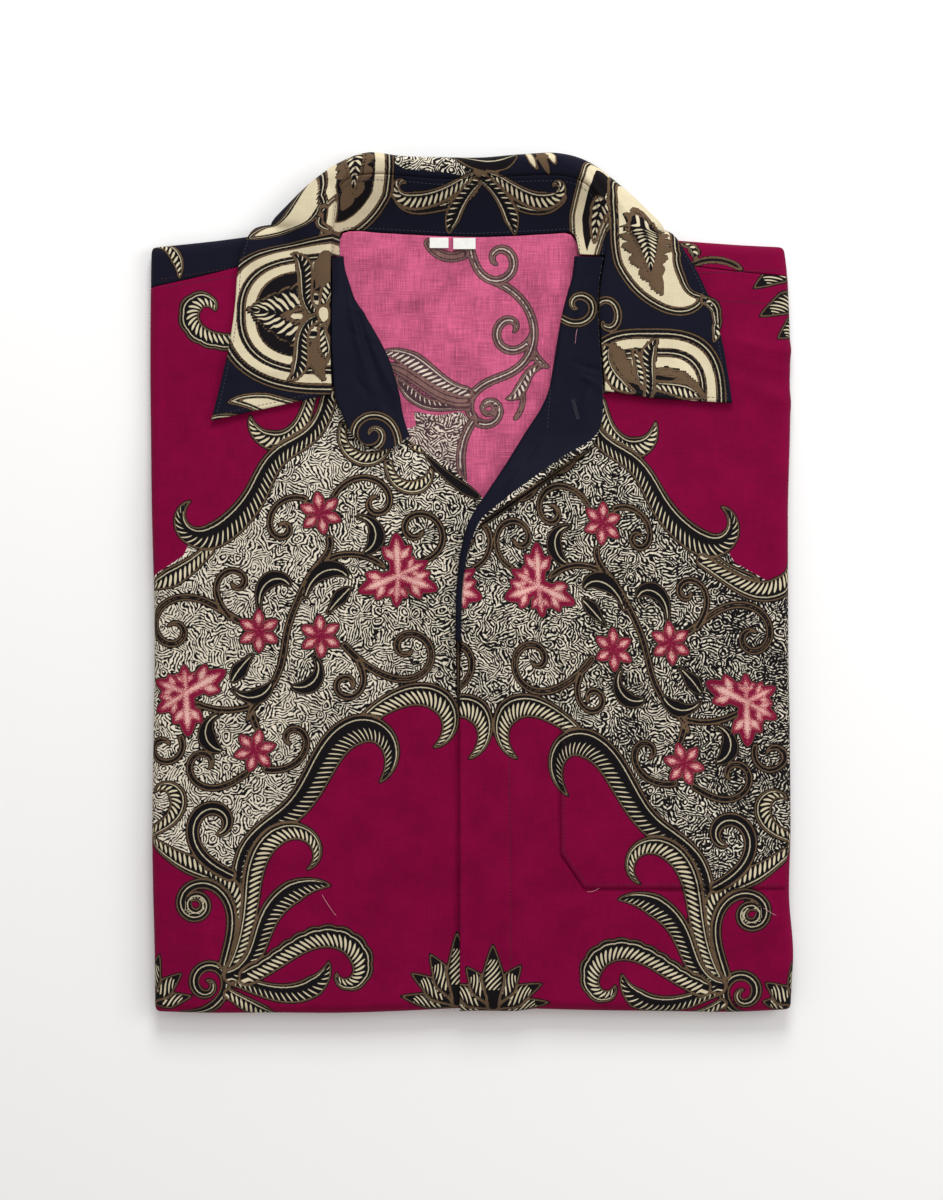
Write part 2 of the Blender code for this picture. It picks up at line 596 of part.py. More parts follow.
def build_pocket(finish):
    """Drawn on the left front's own face and moved out, its lower corner cut off."""
    rows = np.concatenate([
        np.linspace(POCKET_TOP, POCKET_BOTTOM + POCKET_CUT[1], POCKET_MARKS),
        POCKET_BOTTOM + POCKET_CUT[1] * CUT_MARKS,
    ])
    cut = np.clip((POCKET_BOTTOM + POCKET_CUT[1] - rows) / POCKET_CUT[1], 0.0, 1.0)
    left = POCKET_LEFT + POCKET_CUT[0] * cut
    flat = HALF_WIDTH - FOLD_REACH
    across = left[:, None] + (flat - left)[:, None] * np.linspace(0.0, 1.0, POCKET_COLUMNS)
    across = np.column_stack([across, np.full(len(rows), flat + FOLD_CLOTH * FOLD_TURNS[1])])
    along = np.repeat(rows[:, None], across.shape[1], axis=1)
    wall("pocket", lie(across, along, -POCKET_LIFT - POCKET_CLOTH), lie(across, along, -POCKET_LIFT), finish)


def build_labels(finish):
    for row in LABEL_ROWS:
        across, along = np.meshgrid(
            row.across + np.linspace(-row.width, row.width, 4) / 2,
            row.along + np.linspace(-row.height, row.height, 3) / 2,
        )
        outer = level(across, along, BACK_DEPTH - GAP - LABEL_CLOTH)
        wall(row.name, outer, level(across, along, BACK_DEPTH - GAP), finish)


LAPEL_TURNS = np.radians([-90.0, -50.0, -16.0, 16.0, 50.0, 90.0])
LAPEL_LIFT_POWER = 1.5
LAPEL_SPANS, LAPEL_FLATS = 2, 4


def lapel_face(rows, rise_of):
    """The facing's outer face: from inside the neck, round the bend and out over the front."""
    bend, out, edge, rise = lapel_curve(rows, LAPEL_SPANS)
    sections = []
    for at, way, end, lift in zip(bend, out, edge, rise):
        offsets = [BEND + INSIDE_LEG] + [BEND * (1 - np.cos(turn)) for turn in LAPEL_TURNS]
        heights = [-BEND] + [BEND * np.sin(turn) for turn in LAPEL_TURNS]
        middle = LAPEL_CLOTH + GAP - BEND
        places = [at + way * offset for offset in offsets]
        start = places[-1]
        for share in np.linspace(0.0, 1.0, LAPEL_FLATS + 1)[1:]:
            places.append(start + (end - start) * share)
            heights.append(BEND + lift * share**LAPEL_LIFT_POWER)
        places = np.array(places)
        base = top_height(places[:, 0], places[:, 1]) + rise_of(at[0] + way[0] * BEND, places[:, 1])
        sections.append(np.column_stack([places, base + middle + np.array(heights)]))
    return np.array(sections)


def build_facings(finish):
    """Two bent walls; the edge at the collar seam is upright."""
    left = lapel_face(LEFT_LAPEL, left_rise)
    right = lapel_face(RIGHT_LAPEL, lambda across, along: 0.0)
    for name, face in (("facing_left", left), ("facing_right", right)):
        way = normals(face)
        way = way if way[:, -1, 2].sum() > 0 else -way
        way[:, -1] = (0.0, 0.0, 1.0)
        wall(name, face, face - LAPEL_CLOTH * way, finish)


def collar_columns(places):
    return {name: smooth_run(column(COLLAR_ROWS, name), places) for name in CollarRow._fields}


def cloth_below(x, y):
    held_x = np.clip(x, FOLD_REACH - HALF_WIDTH, HALF_WIDTH - FOLD_REACH)
    held_y = np.clip(y, BOTTOM + FOLD_REACH, SHOULDER - FOLD_REACH)
    return top_height(held_x, held_y)


CREST_SHARES = (0.0, 0.5, 1.0)
FALL_SHARES = (0.2, 0.4, 0.6, 0.8, 1.0)
EDGE_SHARES = (0.25, 0.5, 0.75, 1.0)
STAND_ROWS = 5
STATION_STEP = 0.5


def leaf_face(places):
    """The leaf's outer face: from the stand's seam over the crest and down to its edge."""
    row = collar_columns(places)
    seam = np.stack([row["seam_x"], row["seam_y"]], -1)
    fall = np.stack([row["fall_x"], row["fall_y"]], -1)
    edge = np.stack([row["edge_x"], row["edge_y"]], -1)
    crest = seam + (fall - seam) * row["crest"][:, None]
    under = row["under"]
    face = []
    for share in CREST_SHARES:
        place = seam + (crest - seam) * share
        up = row["crest_up"] - (row["crest_up"] - row["seam_up"]) * (1 - share) ** 2
        face.append((place, up))
    for share in FALL_SHARES:
        drop = row["crest_up"] - row["fall_up"]
        laid_up = row["fall_up"] + drop * (0.5 + 0.5 * np.cos(np.pi * share))
        laid_place = crest + (fall - crest) * share
        turn = share * np.pi / 2
        hung_up = row["fall_up"] + drop * np.cos(turn)
        hung_place = crest + (fall - crest) * np.sin(turn)
        place = laid_place + (hung_place - laid_place) * under[:, None]
        face.append((place, laid_up + (hung_up - laid_up) * under))
    for share in EDGE_SHARES:
        drop = row["edge_up"] - row["fall_up"]
        laid_up = row["fall_up"] + drop * share**2
        laid_place = fall + (edge - fall) * share
        turn = share * np.pi / 2
        hung_up = row["fall_up"] + drop * np.sin(turn)
        hung_place = edge + (fall - edge) * np.cos(turn)
        place = laid_place + (hung_place - laid_place) * under[:, None]
        face.append((place, laid_up + (hung_up - laid_up) * under))
    points = []
    for place, up in face:
        points.append(np.column_stack([place, cloth_below(place[:, 0], place[:, 1]) + up]))
    return np.stack(points, axis=1)


def stand_face(places):
    """The stand's inner face, from the neck seam up to the leaf's seam."""
    row = collar_columns(places)
    foot = np.stack([between_rows(NECK_ROWS, "station", name, places) for name in ("x", "y", "up")], -1)
    head = np.stack([row["seam_x"], row["seam_y"], row["seam_up"]], -1)
    head = head - unit(head - foot) * SEAM_GAP
    face = []
    for share in np.linspace(0.0, 1.0, STAND_ROWS):
        points = foot + (head - foot) * share
        points[:, 2] += cloth_below(points[:, 0], points[:, 1]) - STAND_BOW * np.sin(np.pi * share)
        face.append(points)
    return np.stack(face, axis=1)


def build_collar(finish):
    """The leaf and the stand meet in a butt seam, square to both together."""
    places = np.arange(0.0, len(COLLAR_ROWS) - 1 + STATION_STEP / 2, STATION_STEP)
    leaf = leaf_face(places)
    leaf_way = upward(normals(leaf))
    held = (places >= NECK_ROWS[0].station) & (places <= NECK_ROWS[-1].station)
    stand = stand_face(places[held])
    stand_way = upward(normals(stand))
    seam_way = unit(stand_way[:, -1] + leaf_way[held, 0])
    stand_way[:, -1] = seam_way
    leaf_way[~held, 0] = (0.0, 0.0, 1.0)
    leaf_way[held, 0] = seam_way
    wall("collar_leaf", leaf, leaf - COLLAR_CLOTH * leaf_way, finish)
    wall("collar_stand", stand, stand - STAND_CLOTH * stand_way, finish)


# The hidden layers' edge under the fold, in order downwards: how far inside the outline
# and how high it lies, at the sides over or as a share of the turned-up tail, and at the
# ends over the surface. Above it the edge follows the fold.
LayerRow = namedtuple("LayerRow", "side_in side_share side_step end_in end_up")
LAYER_TURNS = (1.35, 1.7)
CORNER_ROOM = 0.7
LAYER_ROWS = [
    LayerRow(-4.9, 1.0, 1.9, -4.0, 1.8),
    LayerRow(-5.6, 1.0, 0.1, -4.3, 1.5),
    LayerRow(-2.2, 0.92, 0.0, -4.3, 1.2),
    LayerRow(-1.0, 0.74, 0.0, -4.3, 0.95),
    LayerRow(-3.4, 0.5, 0.0, -4.3, 0.7),
    LayerRow(-0.9, 0.26, 0.0, -4.3, 0.4),
    LayerRow(-3.2, 0.0, 0.0, -4.0, 0.0),
]
BELOW_TOP = 0.1
CORNER_POWER = 3
# The hollow behind the open neck: its two sides and its lower end.
RECESS = (-108.0, 96.0, 8.0)
RECESS_RAMP = 10.0
LAYER_COLUMNS = (5, 9, 6)
LAYER_MARKS = (12, 10)


def build_layers(finish):
    """The hidden layers as one rounded solid, its side edges rolled like folded cloth."""
    turned = FOLD_CLOTH * FOLD_TURNS[1:4]
    flat_x = np.concatenate([
        np.linspace(FOLD_REACH - HALF_WIDTH, RECESS[0] - RECESS_RAMP, LAYER_COLUMNS[0]),
        np.linspace(RECESS[0], RECESS[1], LAYER_COLUMNS[1]),
        np.linspace(RECESS[1] + RECESS_RAMP, HALF_WIDTH - FOLD_REACH, LAYER_COLUMNS[2]),
    ])
    flat_y = np.concatenate([
        np.linspace(BOTTOM + FOLD_REACH, RECESS[2] - RECESS_RAMP, LAYER_MARKS[0]),
        np.linspace(RECESS[2], SHOULDER - FOLD_REACH, LAYER_MARKS[1]),
    ])
    across = np.concatenate([flat_x[0] - turned[::-1], flat_x, flat_x[-1] + turned])
    along = np.concatenate([flat_y[0] - turned[::-1], flat_y, flat_y[-1] + turned])
    grid_x, grid_y = np.meshgrid(across, along)
    inside = (
        fade(RECESS[0] - RECESS_RAMP, RECESS[0], grid_x)
        * (1 - fade(RECESS[1], RECESS[1] + RECESS_RAMP, grid_x))
        * fade(RECESS[2] - RECESS_RAMP, RECESS[2], grid_y)
    )
    top = lie(grid_x, grid_y, LAYERS_DEPTH + (RECESS_DEPTH - LAYERS_DEPTH) * inside)
    rows, columns = top.shape[:2]
    faces = []
    for i in range(rows - 1):
        for j in range(columns - 1):
            k = i * columns + j
            faces.append((k, k + 1, k + columns + 1, k + columns))
    last_i, last_j = rows - 1, columns - 1
    rim = (
        [(0, j) for j in range(last_j)] + [(i, last_j) for i in range(last_i)]
        + [(last_i, j) for j in range(last_j, 0, -1)] + [(i, 0) for i in range(last_i, 0, -1)]
    )
    rim_i, rim_j = np.array(rim).T
    x, y = grid_x[rim_i, rim_j], grid_y[rim_i, rim_j]
    inside_x, inside_y, _, way_x, way_y, at_end = past_fold(x, y)
    corner = 4 * at_end * (1 - at_end)
    below = []
    for turn in LAYER_TURNS:
        turned_x, turned_y = inside_x + (x - inside_x) * turn, inside_y + (y - inside_y) * turn
        below.append(lie(turned_x, turned_y, LAYERS_DEPTH + BELOW_TOP + CORNER_ROOM * corner))
    tail = tail_height(inside_y)
    to_end = 1 - (1 - at_end) ** CORNER_POWER
    for row in LAYER_ROWS:
        reach = FOLD_REACH + row.side_in * (1 - to_end) + row.end_in * to_end - CORNER_ROOM * corner
        z = (tail * row.side_share + row.side_step) * (1 - to_end) + row.end_up * to_end
        new_x, new_y = settle(inside_x + way_x * reach, inside_y + way_y * reach)
        below.append(np.stack([new_x, new_y, z], -1))
    points = [top.reshape(-1, 3)] + below
    ring = [int(k) for k in rim_i * columns + rim_j]
    for step in range(len(below)):
        first = rows * columns + step * len(ring)
        new = list(range(first, first + len(ring)))
        for k in range(len(ring)):
            after = (k + 1) % len(ring)
            faces.append((ring[k], new[k], new[after], ring[after]))
        ring = new
    faces.append(tuple(ring[::-1]))
    closed_mesh("folded_layers", np.concatenate(points), faces, finish)


def main():
    clear_scene()
    crimson = material("crimson_cloth", CRIMSON)
    navy = material("navy_cloth", NAVY)
    inside = material("pink_inside", PINK)
    sand = material("collar_cloth", SAND)
    tape = material("label_tape", WHITE)
    build_layers(crimson)
    build_back(inside)
    build_fronts(crimson)
    build_yoke(navy)
    build_pocket(crimson)
    build_facings(navy)
    build_collar(sand)
    build_labels(tape)


main()
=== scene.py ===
"""A folded batik shirt, dressed: cloth, print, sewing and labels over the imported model.

Places on the shirt are in millimetres, +X to the wearer's left, +Y up to the collar
and Z over the surface that it lies on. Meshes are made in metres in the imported
model's frame.
"""

from __future__ import annotations

import dataclasses
import logging
import math
from dataclasses import dataclass, field
from enum import Enum
from typing import Callable, NamedTuple, Sequence

import bpy
import numpy as np
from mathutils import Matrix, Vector

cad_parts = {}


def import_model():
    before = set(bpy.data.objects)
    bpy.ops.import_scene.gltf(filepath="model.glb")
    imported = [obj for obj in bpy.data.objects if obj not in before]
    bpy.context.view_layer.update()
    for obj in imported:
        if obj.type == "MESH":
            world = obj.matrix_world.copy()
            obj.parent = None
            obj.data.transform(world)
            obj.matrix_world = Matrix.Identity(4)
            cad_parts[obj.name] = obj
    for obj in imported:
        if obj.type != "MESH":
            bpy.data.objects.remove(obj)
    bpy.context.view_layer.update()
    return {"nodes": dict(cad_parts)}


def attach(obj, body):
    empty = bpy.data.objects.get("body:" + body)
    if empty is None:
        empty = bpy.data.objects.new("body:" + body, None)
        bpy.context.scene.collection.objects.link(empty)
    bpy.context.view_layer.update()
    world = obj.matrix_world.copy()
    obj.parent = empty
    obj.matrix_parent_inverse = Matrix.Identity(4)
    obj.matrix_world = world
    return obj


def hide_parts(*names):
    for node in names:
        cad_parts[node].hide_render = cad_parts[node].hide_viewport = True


LOG = logging.getLogger("shirt")
Grid = np.ndarray

METRE = 0.001
ORIGIN = np.array([0.23, 0.14, 0.0])
ROOT = "root"


# --- Small helpers -----------------------------------------------------------------


def fade(low: float, high: float, value: Grid | float) -> Grid:
    """Gives 0 below low, 1 above high and a smooth share between.

    Args:
        low: where the share leaves 0.
        high: where it reaches 1; it may be under low.
        value: the numbers to read.

    Returns:
        The share for each number.
    """
    share = np.clip((np.asarray(value, float) - low) / (high - low), 0.0, 1.0)
    return share * share * (3.0 - 2.0 * share)


def column(rows: Sequence[NamedTuple], name: str) -> Grid:
    """One named column of a table of rows."""
    return np.array([getattr(row, name) for row in rows], float)


def rows_of(kind: Callable, *rows: tuple) -> tuple:
    """Makes a table whose rows are all of one kind."""
    return tuple(kind(*row) for row in rows)


def smooth_run(values: Grid, places: Grid) -> Grid:
    """Reads a smooth line through values that stand at 0, 1, 2 and so on.

    Args:
        values: the numbers at whole places.
        places: where to read.

    Returns:
        The Catmull-Rom reading at each place.
    """
    first, last = 2 * values[0] - values[1], 2 * values[-1] - values[-2]
    padded = np.concatenate([[first], values, [last]])
    start = np.clip(np.floor(places).astype(int), 0, len(values) - 2)
    t = places - start
    a, b, c, d = (padded[start + k] for k in range(4))
    return 0.5 * (2 * b + (c - a) * t + (2 * a - 5 * b + 4 * c - d) * t**2 + (3 * b - a - 3 * c + d) * t**3)


def between_rows(rows: Sequence[NamedTuple], key: str, name: str, at: Grid) -> Grid:
    """Reads a table's column smoothly at values of its key column."""
    places = np.interp(at, column(rows, key), np.arange(len(rows), dtype=float))
    return smooth_run(column(rows, name), places)


def unit(way: Grid) -> Grid:
    """The same directions at length 1."""
    length = np.linalg.norm(way, axis=-1, keepdims=True)
    return way / np.where(length > 0, length, 1.0)


def face_normals(face: Grid) -> Grid:
    """Unit normals of a grid of points, on the side that mostly looks up."""
    way = unit(np.cross(np.gradient(face, axis=0), np.gradient(face, axis=1)))
    return way if way[..., 2].sum() > 0 else -way


def marks_between(stops: Sequence[float], spacing: float) -> Grid:
    """Numbers through all the stops, no further apart than the spacing.

    Args:
        stops: the numbers that must be hit, in order.
        spacing: the widest step.

    Returns:
        The row of numbers.
    """
    parts = []
    for a, b in zip(stops[:-1], stops[1:]):
        count = max(1, int(math.ceil(abs(b - a) / spacing - 1e-6)))
        parts.append(np.linspace(a, b, count + 1)[:-1])
    return np.concatenate(parts + [[stops[-1]]])


def new_object(name: str, data: bpy.types.ID) -> bpy.types.Object:
    """Makes an object and puts it in the scene."""
    made = bpy.data.objects.new(name, data)
    bpy.context.scene.collection.objects.link(made)
    return made


# --- Tables of the shirt as it lies ------------------------------------------------


class SideRow(NamedTuple):
    """Where the side edges wander, by height."""

    along: float
    right: float
    left: float


SIDE_ROWS = rows_of(
    SideRow,
    (-260.0, -181.6, 183.4), (-236.0, -181.8, 184.6), (-212.0, -182.2, 185.6), (-180.0, -183.2, 183.3),
    (-140.0, -183.6, 184.3), (-90.0, -182.4, 183.6), (-30.0, -182.1, 182.7), (40.0, -183.9, 182.8),
    (90.0, -185.0, 184.3), (150.0, -185.0, 183.9), (182.0, -184.8, 182.4), (205.0, -184.4, 179.6),
)


class EndRow(NamedTuple):
    """Where the bottom fold and the shoulder wander, by place across."""

    across: float
    bottom: float
    shoulder: float


END_ROWS = rows_of(
    EndRow,
    (-190.0, -246.2, 193.4), (-150.0, -247.4, 197.6), (-112.0, -247.5, 202.4), (-79.0, -247.4, 205.4),
    (-40.0, -246.2, 203.8), (0.0, -244.6, 202.0), (30.0, -245.0, 202.6), (60.0, -245.6, 203.6),
    (105.0, -246.4, 199.4), (150.0, -246.9, 196.0), (190.0, -245.0, 194.0),
)


class FoldRow(NamedTuple):
    """A soft trough or ridge along a line."""

    x1: float
    y1: float
    x2: float
    y2: float
    width: float
    height: float


MAIN_FOLDS = rows_of(
    FoldRow,
    (-150.0, 60.0, -120.0, -20.0, 16.0, 0.7), (-96.0, -120.0, -128.0, -205.0, 18.0, -0.7),
    (-60.0, -200.0, -20.0, -228.0, 14.0, 0.6), (-168.0, 120.0, -140.0, 40.0, 14.0, -0.6),
    (-30.0, -60.0, -48.0, -150.0, 20.0, 0.7), (150.0, 110.0, 120.0, 40.0, 16.0, -0.7),
    (165.0, 20.0, 158.0, -60.0, 14.0, 0.7), (60.0, 10.0, 92.0, -70.0, 20.0, 0.6),
    (100.0, -200.0, 165.0, -214.0, 14.0, -0.6), (34.0, -110.0, 46.0, -215.0, 12.0, -0.5),
    (-4.0, -150.0, 14.0, -175.0, 10.0, 0.5),
)


class LapelRow(NamedTuple):
    """A lapel's bend and outer edge, and how far the edge stands over the front."""

    bend_x: float
    bend_y: float
    edge_x: float
    edge_y: float
    rise: float


LEFT_LAPEL = rows_of(
    LapelRow,
    (-9.2, -33.0, -5.7, -33.0, 0.1), (-8.9, -9.6, -5.3, -9.2, 0.1), (-7.2, 10.2, -3.2, 11.0, 0.3),
    (-4.3, 25.2, 1.2, 26.6, 0.8), (-0.6, 36.6, 8.4, 37.6, 1.5), (8.1, 50.6, 21.6, 46.8, 2.6),
    (19.7, 68.2, 37.7, 58.3, 3.2), (31.3, 86.7, 55.1, 70.5, 2.9), (40.0, 100.1, 69.0, 79.6, 2.4),
    (44.9, 111.5, 75.0, 92.5, 1.9), (47.2, 123.8, 75.8, 108.4, 1.5), (49.4, 138.3, 75.0, 125.4, 1.9),
    (52.2, 154.0, 73.5, 143.4, 2.8), (55.6, 167.3, 72.8, 161.5, 3.8), (58.4, 177.2, 73.8, 175.0, 4.8),
    (59.6, 188.3, 75.8, 187.0, 5.5),
)
RIGHT_LAPEL = rows_of(
    LapelRow,
    (-35.0, 84.6, -40.6, 80.4, 0.8), (-37.3, 91.2, -49.0, 77.0, 1.6), (-39.6, 99.5, -60.6, 79.4, 2.1),
    (-41.6, 108.8, -69.2, 87.0, 2.0), (-43.8, 118.0, -74.2, 97.4, 1.6),
    (-46.6, 127.3, -78.0, 108.8, 1.4), (-51.2, 137.2, -79.2, 122.7, 1.8),
    (-57.4, 148.2, -79.9, 138.3, 2.6), (-64.2, 159.8, -79.9, 153.4, 3.5),
    (-69.6, 170.8, -79.5, 166.4, 4.4), (-72.6, 180.1, -79.4, 177.0, 5.5),
    (-73.4, 188.3, -79.6, 185.7, 6.2),
)


class EdgeRow(NamedTuple):
    """The right front's own edge by height."""

    along: float
    across: float


UNDERLAP = 19.0
RIGHT_EDGE_ROWS = rows_of(
    EdgeRow,
    (-270.0, UNDERLAP), (24.0, UNDERLAP), (36.0, 14.5), (45.0, 9.2), (52.0, 4.6), (60.6, -5.2),
    (68.7, -14.5), (73.0, -22.6), (77.6, -29.5),
)


class CollarRow(NamedTuple):
    """A station of the collar: seam, crest, fall line and outer edge."""

    seam_x: float
    seam_y: float
    seam_up: float
    crest: float
    crest_up: float
    fall_x: float
    fall_y: float
    fall_up: float
    edge_x: float
    edge_y: float
    edge_up: float
    under: float


COLLAR_ROWS = rows_of(
    CollarRow,
    (-79.9, 108.8, 3.2, 0.12, 3.9, -104.0, 103.6, 3.1, -149.4, 93.6, 3.6, 0.0),
    (-80.6, 125.0, 3.7, 0.12, 4.6, -105.0, 120.4, 2.9, -144.6, 112.0, 3.0, 0.0),
    (-80.9, 144.0, 4.7, 0.11, 5.7, -104.0, 141.0, 2.9, -139.4, 134.6, 2.8, 0.0),
    (-80.5, 163.6, 6.0, 0.10, 7.2, -103.0, 162.0, 3.0, -135.7, 158.8, 2.8, 0.0),
    (-80.4, 180.6, 7.6, 0.09, 9.0, -102.0, 180.6, 3.4, -134.0, 180.0, 2.7, 0.0),
    (-79.8, 192.6, 8.9, 0.09, 10.5, -106.0, 193.0, 3.6, -130.4, 194.6, 2.4, 0.1),
    (-79.2, 201.0, 9.7, 0.09, 11.4, -112.0, 203.0, 2.4, -124.6, 204.2, -0.6, 0.4),
    (-78.8, 210.0, 10.3, 0.10, 12.1, -115.0, 208.0, -2.6, -112.8, 208.2, -7.4, 0.9),
    (-77.2, 221.0, 10.8, 0.11, 12.7, -105.3, 218.6, -2.4, -97.0, 214.4, -9.8, 1.0),
    (-72.8, 229.4, 11.2, 0.16, 13.2, -92.9, 230.3, -1.2, -84.0, 219.2, -10.1, 1.0),
    (-66.0, 232.8, 11.5, 0.36, 13.6, -76.9, 241.6, -0.4, -70.0, 222.4, -10.2, 1.0),
    (-54.0, 234.0, 11.7, 0.58, 13.8, -59.4, 247.8, 0.2, -54.0, 222.2, -10.2, 1.0),
    (-37.6, 233.0, 11.7, 0.62, 13.8, -39.0, 245.4, 0.4, -37.0, 220.6, -10.2, 1.0),
    (-17.8, 231.4, 11.5, 0.62, 13.5, -18.0, 244.8, 0.4, -18.0, 219.6, -10.2, 1.0),
    (5.2, 231.6, 11.4, 0.62, 13.4, 5.2, 244.6, 0.4, 5.0, 219.6, -10.2, 1.0),
    (28.0, 233.0, 11.5, 0.62, 13.6, 29.0, 246.6, 0.3, 28.0, 220.6, -10.2, 1.0),
    (47.0, 233.4, 11.5, 0.56, 13.7, 51.0, 247.4, 0.0, 47.0, 222.0, -10.2, 1.0),
    (60.2, 231.4, 11.0, 0.32, 13.1, 69.0, 242.0, -0.6, 62.0, 221.2, -10.2, 1.0),
    (70.0, 224.6, 10.0, 0.14, 12.0, 87.0, 228.4, -1.6, 79.0, 216.4, -10.1, 1.0),
    (75.2, 213.4, 9.2, 0.11, 11.0, 100.6, 216.2, -3.0, 92.4, 210.4, -9.8, 1.0),
    (77.0, 202.8, 8.5, 0.10, 10.2, 110.8, 205.2, -3.2, 107.6, 205.4, -7.4, 0.9),
    (77.4, 195.6, 8.0, 0.09, 9.6, 106.6, 198.0, 2.2, 116.4, 200.8, -0.4, 0.4),
    (77.0, 188.0, 7.5, 0.09, 9.0, 101.0, 188.0, 3.5, 123.6, 189.8, 2.4, 0.1),
    (74.9, 175.6, 6.7, 0.10, 7.8, 101.0, 175.6, 3.3, 131.1, 177.0, 2.7, 0.0),
    (73.8, 161.4, 5.7, 0.11, 6.6, 101.0, 160.0, 2.9, 138.6, 159.8, 2.8, 0.0),
    (74.5, 143.8, 4.7, 0.12, 5.5, 102.0, 142.0, 2.9, 143.8, 141.6, 2.8, 0.0),
    (76.0, 125.4, 3.8, 0.12, 4.5, 104.0, 122.6, 2.9, 147.4, 122.0, 3.0, 0.0),
    (77.0, 110.6, 3.3, 0.12, 3.9, 104.0, 106.6, 3.2, 150.2, 103.6, 3.6, 0.0),
)


class NeckRow(NamedTuple):
    """The stand's foot at the neck seam, by collar station."""

    station: float
    x: float
    y: float
    up: float


NECK_ROWS = rows_of(
    NeckRow,
    (4.5, -75.6, 188.8, -2.0), (6.0, -75.6, 197.6, -2.2), (7.5, -74.4, 202.8, -2.8),
    (9.0, -68.0, 204.0, -4.1), (11.0, -54.0, 202.8, -4.3), (13.0, -18.0, 200.8, -4.3),
    (14.0, 5.0, 200.2, -4.3), (16.0, 44.0, 202.0, -4.3), (18.0, 56.4, 202.8, -3.6),
    (19.5, 60.0, 199.6, -1.4), (21.0, 61.2, 195.6, 1.2), (22.0, 61.6, 189.4, 2.4),
)


class BackRow(NamedTuple):
    """The back's upper edge along the neck seam."""

    across: float
    along: float


BACK_ROWS = rows_of(
    BackRow,
    (-101.0, 188.0), (-86.0, 189.0), (-78.5, 190.0), (-75.8, 198.0), (-74.0, 202.0), (-70.5, 203.1),
    (-64.0, 203.3), (-54.0, 202.3), (-36.0, 201.3), (-18.0, 200.3), (5.0, 199.7), (24.0, 200.3),
    (44.0, 201.5), (54.0, 202.2), (57.5, 201.2), (60.2, 198.2), (62.4, 193.0), (66.0, 189.0),
    (89.0, 188.0),
)


# --- How the cloth lies ------------------------------------------------------------


